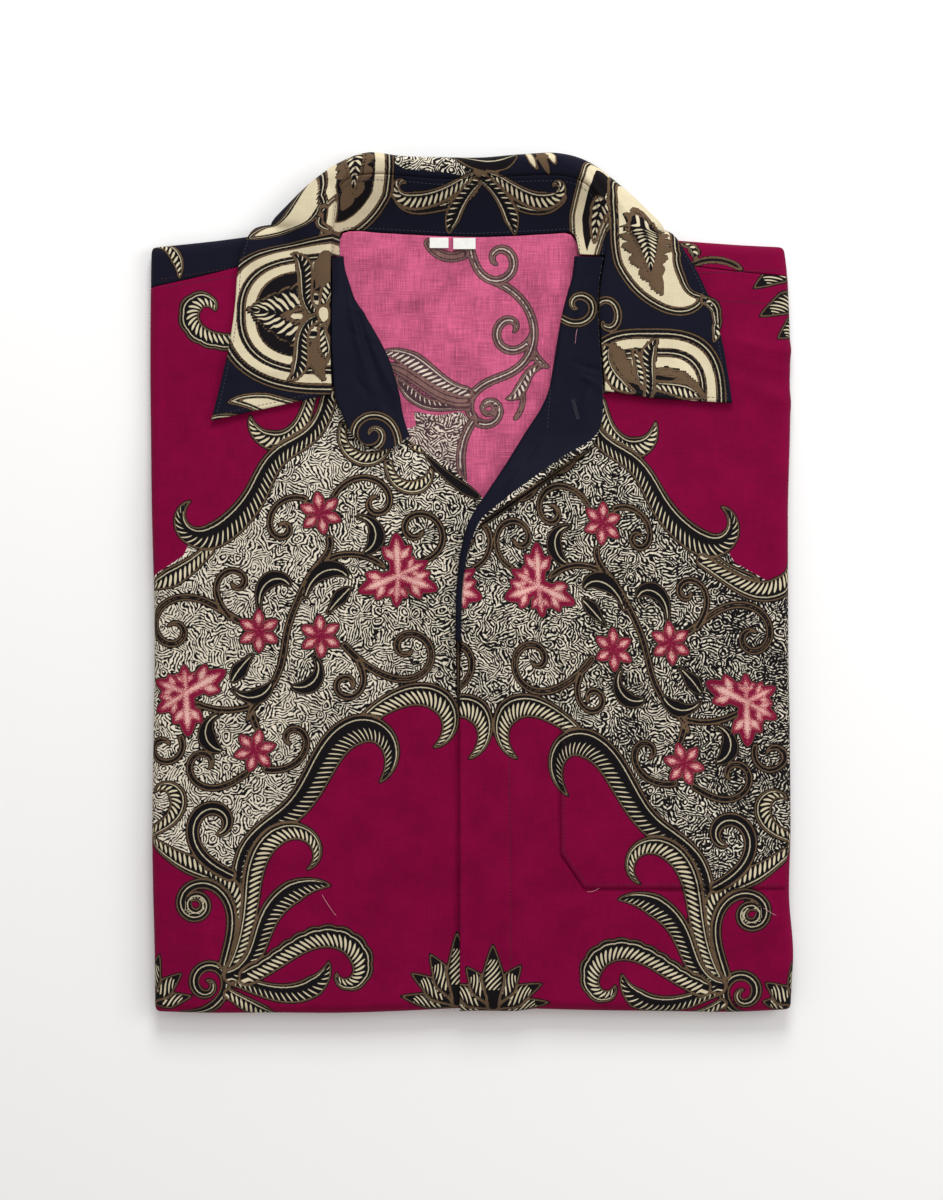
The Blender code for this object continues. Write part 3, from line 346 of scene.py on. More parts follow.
@dataclass(frozen=True)
class FoldedStack:
    """The folded layers as one form: where cloth at any place and depth lies."""

    half_width: float = 184.0
    bottom: float = -248.5
    shoulder: float = 196.0
    upper_layers: float = 9.1
    tail_layers: float = 6.4
    shoulder_layers: float = 2.4
    tail_end: tuple[float, float] = (25.0, 100.0)
    fold_reach: float = 6.5
    side_fold_drop: float = 5.5
    end_fold_drop: float = 6.6
    fold_cloth: float = 9.4
    tuck: float = 4.0
    tuck_turn: float = math.radians(75.0)
    side_clear: float = 0.6
    floor_clear: float = 0.45
    corner_squareness: float = 5.0
    settled_margin: float = 60.0
    folds: tuple[FoldRow, ...] = MAIN_FOLDS

    def fold_heights(self, x: Grid, y: Grid) -> Grid:
        """How far the troughs and ridges move the upper cloth."""
        total = np.zeros(np.broadcast(x, y).shape)
        for fold in self.folds:
            run_x, run_y = fold.x2 - fold.x1, fold.y2 - fold.y1
            share = ((x - fold.x1) * run_x + (y - fold.y1) * run_y) / (run_x**2 + run_y**2)
            near = np.clip(share, 0.0, 1.0)
            away = np.hypot(x - fold.x1 - near * run_x, y - fold.y1 - near * run_y)
            total += fold.height * np.exp(-((away / fold.width) ** 2))
        return total

    def tail_height(self, along: Grid) -> Grid:
        """Height of the turned-up tail, which ends below the chest."""
        step = self.shoulder_layers - self.tail_layers
        return self.tail_layers + step * fade(*self.tail_end, along)

    def top_height(self, across: Grid, along: Grid) -> Grid:
        """Height of the upper cloth's face inside the folds."""
        return self.tail_height(along) + self.upper_layers + self.fold_heights(across, along)

    def settle(self, x: Grid, y: Grid) -> tuple[Grid, Grid]:
        """Moves places near the outline to where the real outline wanders."""
        side_at = np.interp(y, column(SIDE_ROWS, "along"), np.arange(len(SIDE_ROWS)))
        end_at = np.interp(x, column(END_ROWS, "across"), np.arange(len(END_ROWS)))
        right = smooth_run(column(SIDE_ROWS, "right"), side_at) + self.half_width
        left = smooth_run(column(SIDE_ROWS, "left"), side_at) - self.half_width
        low = smooth_run(column(END_ROWS, "bottom"), end_at) - self.bottom
        high = smooth_run(column(END_ROWS, "shoulder"), end_at) - self.shoulder
        margin = self.settled_margin
        move_x = right * fade(margin, 0.0, x + self.half_width)
        move_x = move_x + left * fade(margin, 0.0, self.half_width - x)
        move_y = low * fade(margin, 0.0, y - self.bottom) + high * fade(margin, 0.0, self.shoulder - y)
        return x + move_x, y + move_y

    def unsettle(self, x: Grid, y: Grid) -> tuple[Grid, Grid]:
        """The place on the even stack that settles at x, y."""
        at_x, at_y = x, y
        for _ in range(4):
            settled_x, settled_y = self.settle(at_x, at_y)
            at_x, at_y = at_x + x - settled_x, at_y + y - settled_y
        return at_x, at_y

    def past_fold(self, across: Grid, along: Grid) -> tuple[Grid, ...]:
        """Finds how cloth goes over the folds.

        Args:
            across: places across the flat cloth.
            along: places along it.

        Returns:
            The nearest place inside the folds, how far past it the cloth goes, which
            way, and how far that way is towards an end instead of a side.
        """
        inside_x = np.clip(across, self.fold_reach - self.half_width, self.half_width - self.fold_reach)
        inside_y = np.clip(along, self.bottom + self.fold_reach, self.shoulder - self.fold_reach)
        off_x, off_y = across - inside_x, along - inside_y
        past = np.maximum(abs(off_x), abs(off_y))
        power = self.corner_squareness
        size = (abs(off_x) ** power + abs(off_y) ** power) ** (1 / power)
        size = np.where(past > 0, size, 1.0)
        at_end = off_y**2 / np.where(past > 0, off_x**2 + off_y**2, 1.0)
        return inside_x, inside_y, past, off_x / size, off_y / size, at_end

    def lie(self, across: Grid, along: Grid, depth: Grid | float, face_depth: Grid | float = 0.0) -> Grid:
        """Gives where cloth lies.

        Args:
            across: places across the flat cloth.
            along: places along it.
            depth: how deep under the stack's outer face.
            face_depth: the depth of the wall's own face, where it stands over the stack.

        Returns:
            A point for each place.
        """
        across, along, depth, face_depth = np.broadcast_arrays(across, along, depth, face_depth)
        inside_x, inside_y, past, way_x, way_y, at_end = self.past_fold(across, along)
        turn = past / self.fold_cloth
        drop = self.side_fold_drop + (self.end_fold_drop - self.side_fold_drop) * at_end
        high = self.top_height(inside_x, inside_y)
        upper = np.minimum(turn, 1.0) * np.pi / 2
        reach = (self.fold_reach - depth) * np.sin(upper)
        z = high - depth - (drop - depth) * (1 - np.cos(upper))
        base = (self.tail_height(inside_y) + self.side_clear) * (1 - at_end) + self.floor_clear * at_end
        fall = (high - drop - base) / np.sin(self.tuck_turn)
        whole_turn = np.arcsin(np.sin(self.tuck_turn) * fall / (fall - np.minimum(face_depth, 0.0)))
        lower = np.clip(turn - 1.0, 0.0, 1.0) * whole_turn
        reach = reach - (self.tuck - depth) * (1 - np.cos(lower))
        z = z - (fall - depth) * np.sin(lower)
        x, y = self.settle(inside_x + way_x * reach, inside_y + way_y * reach)
        return np.stack([x, y, z], axis=-1)

    def level(self, x: Grid, y: Grid, depth: float) -> Grid:
        """Places under the shoulder's cloth that lie flat, not turned down at the fold."""
        held = np.clip(y, self.bottom + self.fold_reach, self.shoulder - self.fold_reach)
        return np.stack([x, y, self.top_height(x, held) - depth], axis=-1)

    def cloth_below(self, x: Grid, y: Grid) -> Grid:
        """Height of the upper cloth under a place, held level past the folds."""
        inside_x, inside_y, *_ = self.past_fold(x, y)
        return self.top_height(inside_x, inside_y)

    def seen_place(self, across: Grid, along: Grid) -> tuple[Grid, Grid]:
        """Places in the print: as they lie inside the folds, and flat past them."""
        inside_x, inside_y, *_ = self.past_fold(across, along)
        x, y = self.settle(inside_x, inside_y)
        return x + across - inside_x, y + along - inside_y


STACK = FoldedStack()


# --- Meshes of cloth ---------------------------------------------------------------


CLOTHS: dict[str, Cloth] = {}


@dataclass
class Cloth:
    """A cloth wall: a fine outer face, a plain inner one and the edge between.

    Attributes:
        name: the piece's name.
        face: the outer face's points, rows by columns.
        thickness: the wall's thickness.
        place: where each point lies in the flat cloth or the print.
        ways: the directions out of the face, or None to find them.
        step: how many fine cells one cell of the inner face spans.
        channels: numbers for each point of the face, by name.
    """

    name: str
    face: Grid
    thickness: float
    place: Grid
    ways: Grid | None = None
    step: int = 4
    channels: dict[str, Grid] = field(default_factory=dict)

    def outward(self) -> Grid:
        """The directions out of the face."""
        return face_normals(self.face) if self.ways is None else self.ways

    def _kept(self, count: int) -> list[int]:
        """The rows or columns that the inner face keeps."""
        kept = list(range(0, count - 1, self.step))
        return kept + [count - 1]

    def mesh_data(self) -> tuple[Grid, list[tuple[int, ...]], Grid]:
        """Makes the closed wall.

        Returns:
            Its points, its faces, and for each point the outer face's point it follows.
        """
        rows, columns = self.face.shape[:2]
        kept_i, kept_j = self._kept(rows), self._kept(columns)
        inner = (self.face - self.thickness * self.outward())[np.ix_(kept_i, kept_j)]
        index = np.arange(rows * columns).reshape(rows, columns)
        follows = np.concatenate([index.ravel(), index[np.ix_(kept_i, kept_j)].ravel()])
        low = rows * columns + np.arange(len(kept_i) * len(kept_j)).reshape(len(kept_i), len(kept_j))
        up = self._turned_up(self.face)
        faces: list[tuple[int, ...]] = []
        quads = np.stack([index[:-1, :-1], index[:-1, 1:], index[1:, 1:], index[1:, :-1]], -1).reshape(-1, 4)
        under = np.stack([low[:-1, :-1], low[1:, :-1], low[1:, 1:], low[:-1, 1:]], -1).reshape(-1, 4)
        faces += [tuple(q if up else q[::-1]) for q in quads.tolist()]
        faces += [tuple(q if up else q[::-1]) for q in under.tolist()]
        for fine, coarse, kept in (
            (index[0], low[0], kept_j), (index[:, -1], low[:, -1], kept_i),
            (index[-1][::-1], low[-1][::-1], [columns - 1 - k for k in reversed(kept_j)]),
            (index[::-1, 0], low[::-1, 0], [rows - 1 - k for k in reversed(kept_i)]),
        ):
            for k, (a, b) in enumerate(zip(kept[:-1], kept[1:])):
                rim = [int(coarse[k])] + [int(coarse[k + 1])] + [int(fine[m]) for m in range(b, a - 1, -1)]
                faces.append(tuple(rim if up else rim[::-1]))
        return np.concatenate([self.face.reshape(-1, 3), inner.reshape(-1, 3)]), faces, follows

    @staticmethod
    def _turned_up(face: Grid) -> bool:
        """Whether rows then columns run so that the faces look up."""
        way = np.cross(np.gradient(face, axis=1), np.gradient(face, axis=0))
        return way[..., 2].sum() > 0

    def pressed(self, creases: Sequence[Crease], x: Grid, y: Grid, free: Grid | float = 1.0) -> Cloth:
        """Presses creases into the cloth.

        Args:
            creases: the creases.
            x: each point's place across, as the creases give theirs.
            y: each point's place along.
            free: how much of each crease the cloth takes, from 0 to 1.

        Returns:
            The cloth itself.
        """
        self.face = self.face + self.outward() * (crease_heights(x, y, creases) * free)[..., None]
        return self

    def make(self, finish: bpy.types.Material) -> bpy.types.Object:
        """Makes the piece.

        Args:
            finish: the material of the whole wall.

        Returns:
            The object, with its place and channels as attributes.
        """
        CLOTHS[self.name] = self
        points, faces, follows = self.mesh_data()
        mesh = bpy.data.meshes.new(self.name)
        mesh.from_pydata(((points - ORIGIN) * METRE).tolist(), [], faces)
        mesh.materials.append(finish)
        mesh.shade_smooth()
        spots = np.zeros((len(points), 3))
        spots[:, :2] = self.place.reshape(-1, 2)[follows]
        mesh.attributes.new("cloth_place", "FLOAT_VECTOR", "POINT").data.foreach_set("vector", spots.ravel())
        blank = Canvas(self.place[..., 0], self.place[..., 1])
        for name, values in (self.channels or blank.channels()).items():
            data = mesh.attributes.new(name, "FLOAT", "POINT").data
            data.foreach_set("value", values.reshape(-1)[follows].astype(np.float32))
        return new_object(self.name, mesh)


# --- Print: curls, leaves and flowers drawn with wax lines --------------------------


class Kind(Enum):
    """How a drawn stroke is filled."""

    STEM = "brown vine with a dark middle"
    HATCHED = "dark leaf with small ribs and a light line"
    RIBBED = "leaf of bold light ribs"
    SCALLOPED = "bold ribs inside a scalloped border"
    LINED = "dark curl with a light line"
    COMMA = "small dark drop with a glint"
    PETAL = "red petal with a pale heart"
    BROWN = "flat brown leaf with a toothed edge"
    CREAM = "flat light shape inside dark lines"
    TWIN = "leaf with ribs on both sides"
    SPEAR = "pointed leaflet with ribs across"
    LOBE = "lobe of a large red flower"
    PAISLEY = "light paisley in dark bands"
    SLIM_PAISLEY = "paisley with a light band and a dark middle"
    DARK_PAISLEY = "broad paisley with a light band and a dark middle"
    # painted shade: a dark line painted into the print where one layer's edge stands over the next
    SHADE = "dark line where one layer stands over the next"


@dataclass(frozen=True)
class Bands:
    """Bands and light lines that follow a shape's edge, by their depths inside it in mm."""

    creams: tuple[tuple[float, float], ...] = ()
    browns: tuple[tuple[float, float], ...] = ()
    lines: tuple[float, ...] = ()

    @staticmethod
    def _nearest(depth: Grid, spans: Sequence[tuple[float, float]]) -> Grid:
        """Signed distance to the nearest of some spans of depth."""
        return np.min([abs(depth - (a + b) / 2) - (b - a) / 2 for a, b in spans], axis=0)

    def values(self, field_mm: Grid) -> dict[str, Grid]:
        """The channels for a shape's signed distance."""
        made = {}
        if self.creams:
            made["cream"] = self._nearest(-field_mm, self.creams)
        if self.browns:
            made["brown"] = self._nearest(-field_mm, self.browns)
        if self.lines:
            off = np.stack([-field_mm - line for line in self.lines])
            made["line"] = np.take_along_axis(off, abs(off).argmin(0)[None], 0)[0]
        return made


@dataclass(frozen=True)
class Brush:
    """What one kind of stroke looks like; lengths in mm and shares of the half width."""

    start: float = 1.0
    peak: float = 0.7
    tip: float = 0.7
    rib_from: float = 0.0
    rib_to: float = 0.0
    rib_every: float = 3.2
    rib_room: float = 0.0
    rib_slant: float = 0.6
    rib_after: float = 0.0
    rib_until: float = 1.0
    line_at: float | None = None
    teeth: float = 0.0
    tooth_every: float = 7.0
    heart: float = 0.0
    fill: str = ""
    petal: float = 0.0
    bands: Bands | None = None


BRUSHES = {
    Kind.STEM: Brush(peak=0.85, tip=0.4, bands=Bands(browns=((1.45, 9.0),))),
    Kind.SHADE: Brush(start=0.7, peak=0.2, tip=0.5, petal=0.5),
    Kind.HATCHED: Brush(start=0.62, peak=0.74, tip=0.75, rib_from=-0.02, rib_to=0.9, rib_room=0.17,
                        line_at=-0.64),
    Kind.RIBBED: Brush(start=0.6, peak=0.66, tip=0.7, rib_from=-0.3, rib_to=0.86, rib_room=0.3, line_at=-0.6),
    Kind.SCALLOPED: Brush(start=0.8, peak=0.7, tip=0.6, rib_from=-0.25, rib_to=0.84, rib_room=0.31,
                          line_at=-0.6, teeth=0.17, tooth_every=8.0),
    Kind.LINED: Brush(start=0.9, peak=0.75, tip=0.4, line_at=-0.12),
    Kind.COMMA: Brush(start=0.3, peak=0.62, tip=0.5, line_at=-0.1, petal=0.5),
    Kind.PETAL: Brush(start=0.4, peak=0.55, tip=0.55, heart=0.62, petal=1.0),
    Kind.LOBE: Brush(start=0.85, peak=0.6, tip=0.5, heart=0.5, petal=1.0),
    Kind.PAISLEY: Brush(start=1.0, peak=0.52, tip=0.6, bands=Bands(
        creams=((5.2, 60.0),), browns=((3.9, 5.2),), lines=(2.5,))),
    Kind.DARK_PAISLEY: Brush(start=1.0, peak=0.52, tip=0.6, bands=Bands(
        creams=((5.2, 10.6),), browns=((3.9, 5.2), (10.6, 11.4)), lines=(2.5,))),
    Kind.SLIM_PAISLEY: Brush(start=1.0, peak=0.45, tip=0.7, bands=Bands(
        creams=((3.2, 7.4),), browns=((2.4, 3.2),), lines=(1.6,))),
    Kind.BROWN: Brush(start=0.75, peak=0.45, tip=0.9, teeth=0.42, tooth_every=9.0, fill="brown"),
    Kind.CREAM: Brush(start=1.0, peak=0.5, tip=0.6, fill="cream"),
    Kind.TWIN: Brush(start=1.0, peak=0.2, tip=0.75, rib_from=0.1, rib_to=0.84, rib_every=4.3, rib_room=0.3,
                     rib_slant=0.8, teeth=0.14, tooth_every=8.0),
    Kind.SPEAR: Brush(start=0.5, peak=0.46, tip=0.8, rib_from=-0.74, rib_to=0.74, rib_every=3.2,
                      rib_room=0.25, rib_slant=0.95, rib_after=0.24, rib_until=0.78),
}


@dataclass(frozen=True)
class Curl:
    """A smooth spine: its start, its heading in degrees, its length and how it bends.

    The bends stand at equal spaces along it, in radians over the whole length.
    """

    x: float
    y: float
    heading: float
    length: float
    bends: tuple[float, ...] = (0.0,)

    def spine(self, spacing: float = 0.35) -> tuple[Grid, Grid, Grid]:
        """Draws the spine.

        Args:
            spacing: the distance between its points.

        Returns:
            Its points, its directions and each point's share of the length.
        """
        count = max(8, int(self.length / spacing))
        share = np.linspace(0.0, 1.0, count)
        bend = np.interp(share, np.linspace(0.0, 1.0, len(self.bends)), self.bends)
        turned = np.concatenate([[0.0], np.cumsum((bend[1:] + bend[:-1]) / 2)]) / (count - 1)
        turn = math.radians(self.heading) + turned
        ways = np.stack([np.cos(turn), np.sin(turn)], -1)
        steps = (ways[1:] + ways[:-1]) / 2 * self.length / (count - 1)
        points = np.concatenate([[[0.0, 0.0]], np.cumsum(steps, 0)]) + (self.x, self.y)
        return points, ways, share


@dataclass(frozen=True)
class Stroke:
    """A curl drawn with a brush; ribs stand on its side 1, to the left, or -1."""

    kind: Kind
    curl: Curl
    half_width: float
    side: int = 1


@dataclass(frozen=True)
class Oval:
    """A banded oval: its middle, its half sizes and how square it is."""

    x: float
    y: float
    half_across: float
    half_along: float
    power: float
    bands: Bands


class Canvas:
    """The print at a set of places, with painted shade drawn in the same way: signed distances that the finishes turn
    into inks.

    Attributes:
        FAR: the distance that stands for nothing near.
        REACH: how far outside a shape its distance still counts.
        NO_RIB: the room of a rib where there is none.
        RIM: how far outside its edge a shape hides what lies under it.
        BORDER: how deep inside the edge a flat fill starts.
        PETAL_REACH: how far outside its petals' middles a flower reaches.
        LEAST_TIP: the share of the width that a stroke keeps at its tip.
        LEAST_WIDTH: the narrowest width that ribs are measured by.
        TOOTH_SHAPE: how round the teeth are.
        RIB_SHAPE: how a rib swells at its foot, at its head and in all.
        RIB_PAST, RIB_THIN, RIB_LESS: how fast a rib ends past its span, in a narrow
            stroke, and everywhere.
        NARROW: the share of the width under which a stroke is narrow.
    """

    FAR = 9.0
    REACH = 2.5
    NO_RIB = -0.5
    RIM = 0.55
    BORDER = 0.7
    PETAL_REACH = 5.0
    LEAST_TIP = 0.05
    LEAST_WIDTH = 0.5
    TOOTH_SHAPE = 0.7
    RIB_SHAPE = (0.35, 0.45, 1.55)
    RIB_PAST, RIB_THIN, RIB_LESS = 0.35, 0.3, 0.02
    NARROW = 0.35

    def __init__(self, x: Grid, y: Grid) -> None:
        """Starts empty cloth at the places x, y."""
        self.shape = x.shape
        self.x, self.y = x.ravel().astype(float), y.ravel().astype(float)
        far = np.full(self.x.shape, self.FAR)
        self.values = {name: far.copy() for name in ("edge", "line", "heart", "cream", "brown", "worm")}
        self.values["phase"] = np.zeros_like(far)
        self.values["room"] = np.full_like(far, self.NO_RIB)
        self.values["petal"] = np.zeros_like(far)

    def move_to(self, x: Grid, y: Grid) -> None:
        """Draws what follows at other places."""
        self.x, self.y = x.ravel().astype(float), y.ravel().astype(float)

    def near(self, low: Sequence[float], high: Sequence[float], margin: float) -> Grid:
        """The indices of places in a box with a margin round it."""
        inside = (self.x > low[0] - margin) & (self.x < high[0] + margin)
        return np.nonzero(inside & (self.y > low[1] - margin) & (self.y < high[1] + margin))[0]

    def lay(self, index: Grid, field_mm: Grid, **values: Grid | float) -> None:
        """Lays one motif over what is there.

        Args:
            index: the places it may reach.
            field_mm: its signed distance at them, under 0 inside.
            **values: its other channels at them; the rest are cleared under it.
        """
        edge = self.values["edge"]
        old = edge[index]
        outside = np.where(old < 0, np.maximum(old, -field_mm), np.minimum(old, field_mm))
        edge[index] = np.where(field_mm < 0, field_mm, outside)
        under = field_mm < self.RIM
        spots = index[under]
        cleared = {"line": self.FAR, "heart": self.FAR, "cream": self.FAR, "brown": self.FAR,
                   "room": self.NO_RIB, "petal": 0.0}
        for name, blank in cleared.items():
            value = values.get(name, blank)
            self.values[name][spots] = value[under] if isinstance(value, np.ndarray) else value
        if "phase" in values:
            self.values["phase"][spots] = values["phase"][under]

    def _fields(self, stroke: Stroke) -> tuple[Grid, Grid, Grid, Grid, Grid]:
        """Measures a stroke.

        Args:
            stroke: the stroke.

        Returns:
            The indices of the places near it, and at each one the distance to its side,
            the share of its length, the signed distance to its edge and its half width.
        """
        points, ways, share = stroke.curl.spine()
        brush = BRUSHES[stroke.kind]
        index = self.near(points.min(0), points.max(0), stroke.half_width * (1 + brush.teeth) + self.REACH)
        away_x = self.x[index][:, None] - points[:, 0]
        away_y = self.y[index][:, None] - points[:, 1]
        nearest = np.argmin(away_x**2 + away_y**2, axis=1)
        rows = np.arange(len(index))
        off_x, off_y = away_x[rows, nearest], away_y[rows, nearest]
        way = ways[nearest]
        across = way[:, 0] * off_y - way[:, 1] * off_x
        ahead = way[:, 0] * off_x + way[:, 1] * off_y
        at = np.clip(share[nearest] + ahead / stroke.curl.length, 0.0, 1.0)
        rise = np.clip(at / brush.peak, 0.0, 1.0)
        fall = np.clip((1 - at) / (1 - brush.peak), 0.0, 1.0) ** brush.tip
        end = (1 - self.LEAST_TIP) * fall + self.LEAST_TIP
        width = stroke.half_width * (brush.start + (1 - brush.start) * rise * rise * (3 - 2 * rise)) * end
        if brush.teeth:
            teeth = abs(np.sin(np.pi * at * stroke.curl.length / brush.tooth_every)) ** self.TOOTH_SHAPE
            outer = np.ones_like(at) if stroke.kind in (Kind.BROWN, Kind.TWIN) else across * stroke.side < 0
            width = width * np.where(outer, 1 + brush.teeth * (teeth - 0.5), 1.0)
        gap = np.hypot(off_x, off_y)
        return index, across * stroke.side, at, gap - width, width

    def draw(self, stroke: Stroke) -> None:
        """Draws one stroke over the print.

        Args:
            stroke: the stroke.
        """
        brush = BRUSHES[stroke.kind]
        index, across, at, field_mm, width = self._fields(stroke)
        values: dict[str, Grid | float] = {}
        if brush.rib_room:
            lateral = across / np.maximum(width, self.LEAST_WIDTH)
            if stroke.kind is Kind.TWIN:
                lateral = abs(lateral)
            share = (lateral - brush.rib_from) / (brush.rib_to - brush.rib_from)
            foot, head, swell = self.RIB_SHAPE
            bulge = np.clip(share, 0, 1) ** foot * np.clip(1 - share, 0, 1) ** head * swell
            past = np.clip(-share, 0, 1) + np.clip(share - 1, 0, 1)
            narrow = 1 - np.clip(width / (self.NARROW * stroke.half_width), 0, 1)
            room = brush.rib_room * bulge - self.RIB_PAST * past - self.RIB_THIN * narrow - self.RIB_LESS
            ribbed = (at >= brush.rib_after) & (at <= brush.rib_until)
            values["room"] = np.where(ribbed, room, self.NO_RIB)
            slant = brush.rib_slant * lateral * stroke.half_width
            values["phase"] = (at * stroke.curl.length - slant) / brush.rib_every
        if brush.line_at is not None:
            values["line"] = across - brush.line_at * width
        if brush.heart:
            values["heart"] = field_mm + (1 - brush.heart) * stroke.half_width
        values["petal"] = brush.petal
        if brush.bands:
            values |= brush.bands.values(field_mm)
        if brush.fill:
            values[brush.fill] = field_mm + self.BORDER
        self.lay(index, field_mm, **values)

    def oval(self, oval: Oval) -> None:
        """Draws a banded oval over the print."""
        half = np.array([oval.half_across, oval.half_along])
        index = self.near((oval.x, oval.y) - half, (oval.x, oval.y) + half, self.REACH)
        across, along = self.x[index] - oval.x, self.y[index] - oval.y
        size = (abs(across / half[0]) ** oval.power + abs(along / half[1]) ** oval.power) ** (1 / oval.power)
        field_mm = np.hypot(across, along) * (1 - 1 / np.maximum(size, 1e-3))
        self.lay(index, field_mm, **oval.bands.values(field_mm))

    def bloom(self, strokes: Sequence[Stroke]) -> None:
        """Draws petals as one flower, without lines where they overlap.

        Args:
            strokes: the petals.
        """
        points = np.concatenate([stroke.curl.spine()[0] for stroke in strokes])
        index = self.near(points.min(0), points.max(0), self.PETAL_REACH)
        field_mm = np.full(len(index), self.FAR)
        heart = np.full(len(index), self.FAR)
        spot = np.full(len(self.x), -1)
        spot[index] = np.arange(len(index))
        for stroke in strokes:
            found, _, _, field_one, _ = self._fields(stroke)
            kept = spot[found] >= 0
            at = spot[found[kept]]
            one = field_one[kept]
            field_mm[at] = np.minimum(field_mm[at], one)
            deeper = one + (1 - BRUSHES[stroke.kind].heart) * stroke.half_width
            heart[at] = np.minimum(heart[at], deeper)
        self.lay(index, field_mm, heart=heart, petal=1.0)

    def worms(self, outline: Sequence[tuple[float, float]]) -> None:
        """Fills the ground inside an outline with worm-like strokes."""
        corners = np.array(outline)
        following = np.roll(corners, -1, axis=0)
        gap = np.full(self.x.shape, 1e9)
        inside = np.zeros(self.x.shape, bool)
        for a, b in zip(corners, following):
            run = b - a
            share = np.clip(((self.x - a[0]) * run[0] + (self.y - a[1]) * run[1]) / (run @ run), 0, 1)
            gap = np.minimum(gap, np.hypot(self.x - a[0] - share * run[0], self.y - a[1] - share * run[1]))
            crosses = (a[1] > self.y) != (b[1] > self.y)
            at = a[0] + (self.y - a[1]) / (run[1] if run[1] else 1e-9) * run[0]
            inside ^= crosses & (self.x < at)
        self.values["worm"] = np.minimum(self.values["worm"], np.where(inside, -gap, gap))

    def channels(self) -> dict[str, Grid]:
        """Every channel in the shape of the places."""
        return {f"print_{name}": value.reshape(self.shape) for name, value in self.values.items()}


def ray(x: float, y: float, way: float, reach: float) -> tuple[float, float]:
    """The place at a distance and a direction in degrees from x, y."""
    return x + reach * math.cos(math.radians(way)), y + reach * math.sin(math.radians(way))


@dataclass(frozen=True)
class RosetteShape:
    """A small round flower's petals: how many, and their start and half width by its reach."""

    count: int = 6
    start: float = 0.12
    half_width: float = 0.29

    def petals(self, x: float, y: float, reach: float, turn: float) -> list[Stroke]:
        """The flower's petals.

        Args:
            x: its middle across.
            y: its middle along.
            reach: how far the petals reach.
            turn: the first petal's direction in degrees.

        Returns:
            The petals.
        """
        start = self.start * reach
        ways = [turn + 360.0 * k / self.count for k in range(self.count)]
        return [Stroke(Kind.PETAL, Curl(*ray(x, y, way, start), way, reach - start), self.half_width * reach)
                for way in ways]


@dataclass(frozen=True)
class LobedShape:
    """A large flower's lobes and their two side points, by each lobe's reach."""

    lobe_width: float = 0.22
    root: float = 0.3
    turn: float = 40.0
    point: float = 0.52
    point_width: float = 0.17

    def petals(self, x: float, y: float, lobes: Sequence[tuple[float, float]]) -> list[Stroke]:
        """The flower's lobes and points.

        Args:
            x: its middle across.
            y: its middle along.
            lobes: each lobe's direction in degrees and its reach.

        Returns:
            The petals.
        """
        petals = []
        for way, reach in lobes:
            petals.append(Stroke(Kind.LOBE, Curl(x, y, way, reach), self.lobe_width * reach))
            root = ray(x, y, way, self.root * reach)
            petals += [Stroke(Kind.PETAL, Curl(*root, way + side * self.turn, self.point * reach),
                              self.point_width * reach) for side in (-1, 1)]
        return petals


# --- Print: where the strokes lie ------------------------------------------------------


def strokes(*rows: tuple) -> tuple[Stroke, ...]:
    """Makes a table of strokes.

    Args:
        *rows: each stroke's kind, the x, y, heading, length and bends of its curl, its
            half width and its side.

    Returns:
        The strokes.
    """
    return tuple(Stroke(kind, Curl(*curl), half, side) for kind, *curl, half, side in rows)


VINES = strokes(
    (Kind.STEM, -78.3, 50.8, 59, 70.1, (-3.0, -4.9, -17.9), 1.5, 0),
    (Kind.STEM, -95.1, 48.4, 160, 56.8, (3.5, 4.1, 19.1), 1.5, 0),
    (Kind.STEM, -25.5, 13.7, 19, 67.2, (4.9, 5.0, 14.9), 1.5, 0),
    (Kind.STEM, -132.9, -21.8, 150, 100.9, (-1.3, 4.3, 8.5, 22.6), 1.8, 0),
    (Kind.STEM, -138.6, -19.4, 129, 56.3, (-0.2, -4.2, -7.6, -18.9), 1.5, 0),
    (Kind.STEM, -72.5, -35.7, 311, 107.5, (1.3, 2.1, 7.9, 9.1, 27.3), 1.8, 0),
    (Kind.STEM, -64.4, -45.6, 299, 53.3, (-1.7, -13.4), 1.5, 0),
    (Kind.STEM, -117.7, -107.0, 353, 56.3, (1.7, 4.0, 15.1), 1.7, 0),
    (Kind.STEM, -129.0, -109.2, 214, 66.2, (0.2, -4.0, -7.2, -15.8), 1.7, 0),
    (Kind.STEM, -126.6, -64.0, 266, 22.0, (0.6,), 1.7, 0),
    (Kind.STEM, -166.5, -88.5, 294, 45.5, (-4.1, -5.5, -10.6), 1.5, 0),
    (Kind.STEM, -124.7, -70.0, 201, 38.0, (-0.9,), 1.5, 0),
    (Kind.STEM, -84.7, 12.5, 31, 38.7, (-1.3,), 1.5, 0),
    (Kind.STEM, -81.2, 25.8, 288, 118.1, (-15.1, 3.1, 0.2, 2.0, -2.4, -3.0, 10.9), 1.7, 0),
)
DROPS = strokes(
    (Kind.COMMA, -64.4, 38.2, 358, 29.4, (-2.8,), 4.8, 1),
    (Kind.COMMA, -95.1, -7.2, 75, 34.2, (-0.8, -3.9), 5.1, 1),
    (Kind.COMMA, -81.8, -16.5, 57, 19.0, (-0.3,), 4.1, 1),
    (Kind.COMMA, -121.2, -14.8, 101, 32.9, (-1.1, -4.9), 4.4, 1),
    (Kind.COMMA, -90.0, -42.1, 312, 30.1, (-2.8,), 4.4, 1),
    (Kind.COMMA, -125.9, -41.5, 227, 19.1, (0.2,), 4.4, 1),
    (Kind.COMMA, -136.3, -61.2, 314, 26.3, (2.0,), 4.4, 1),
    (Kind.COMMA, -145.6, -75.6, 203, 27.4, (2.6,), 5.1, 1),
)
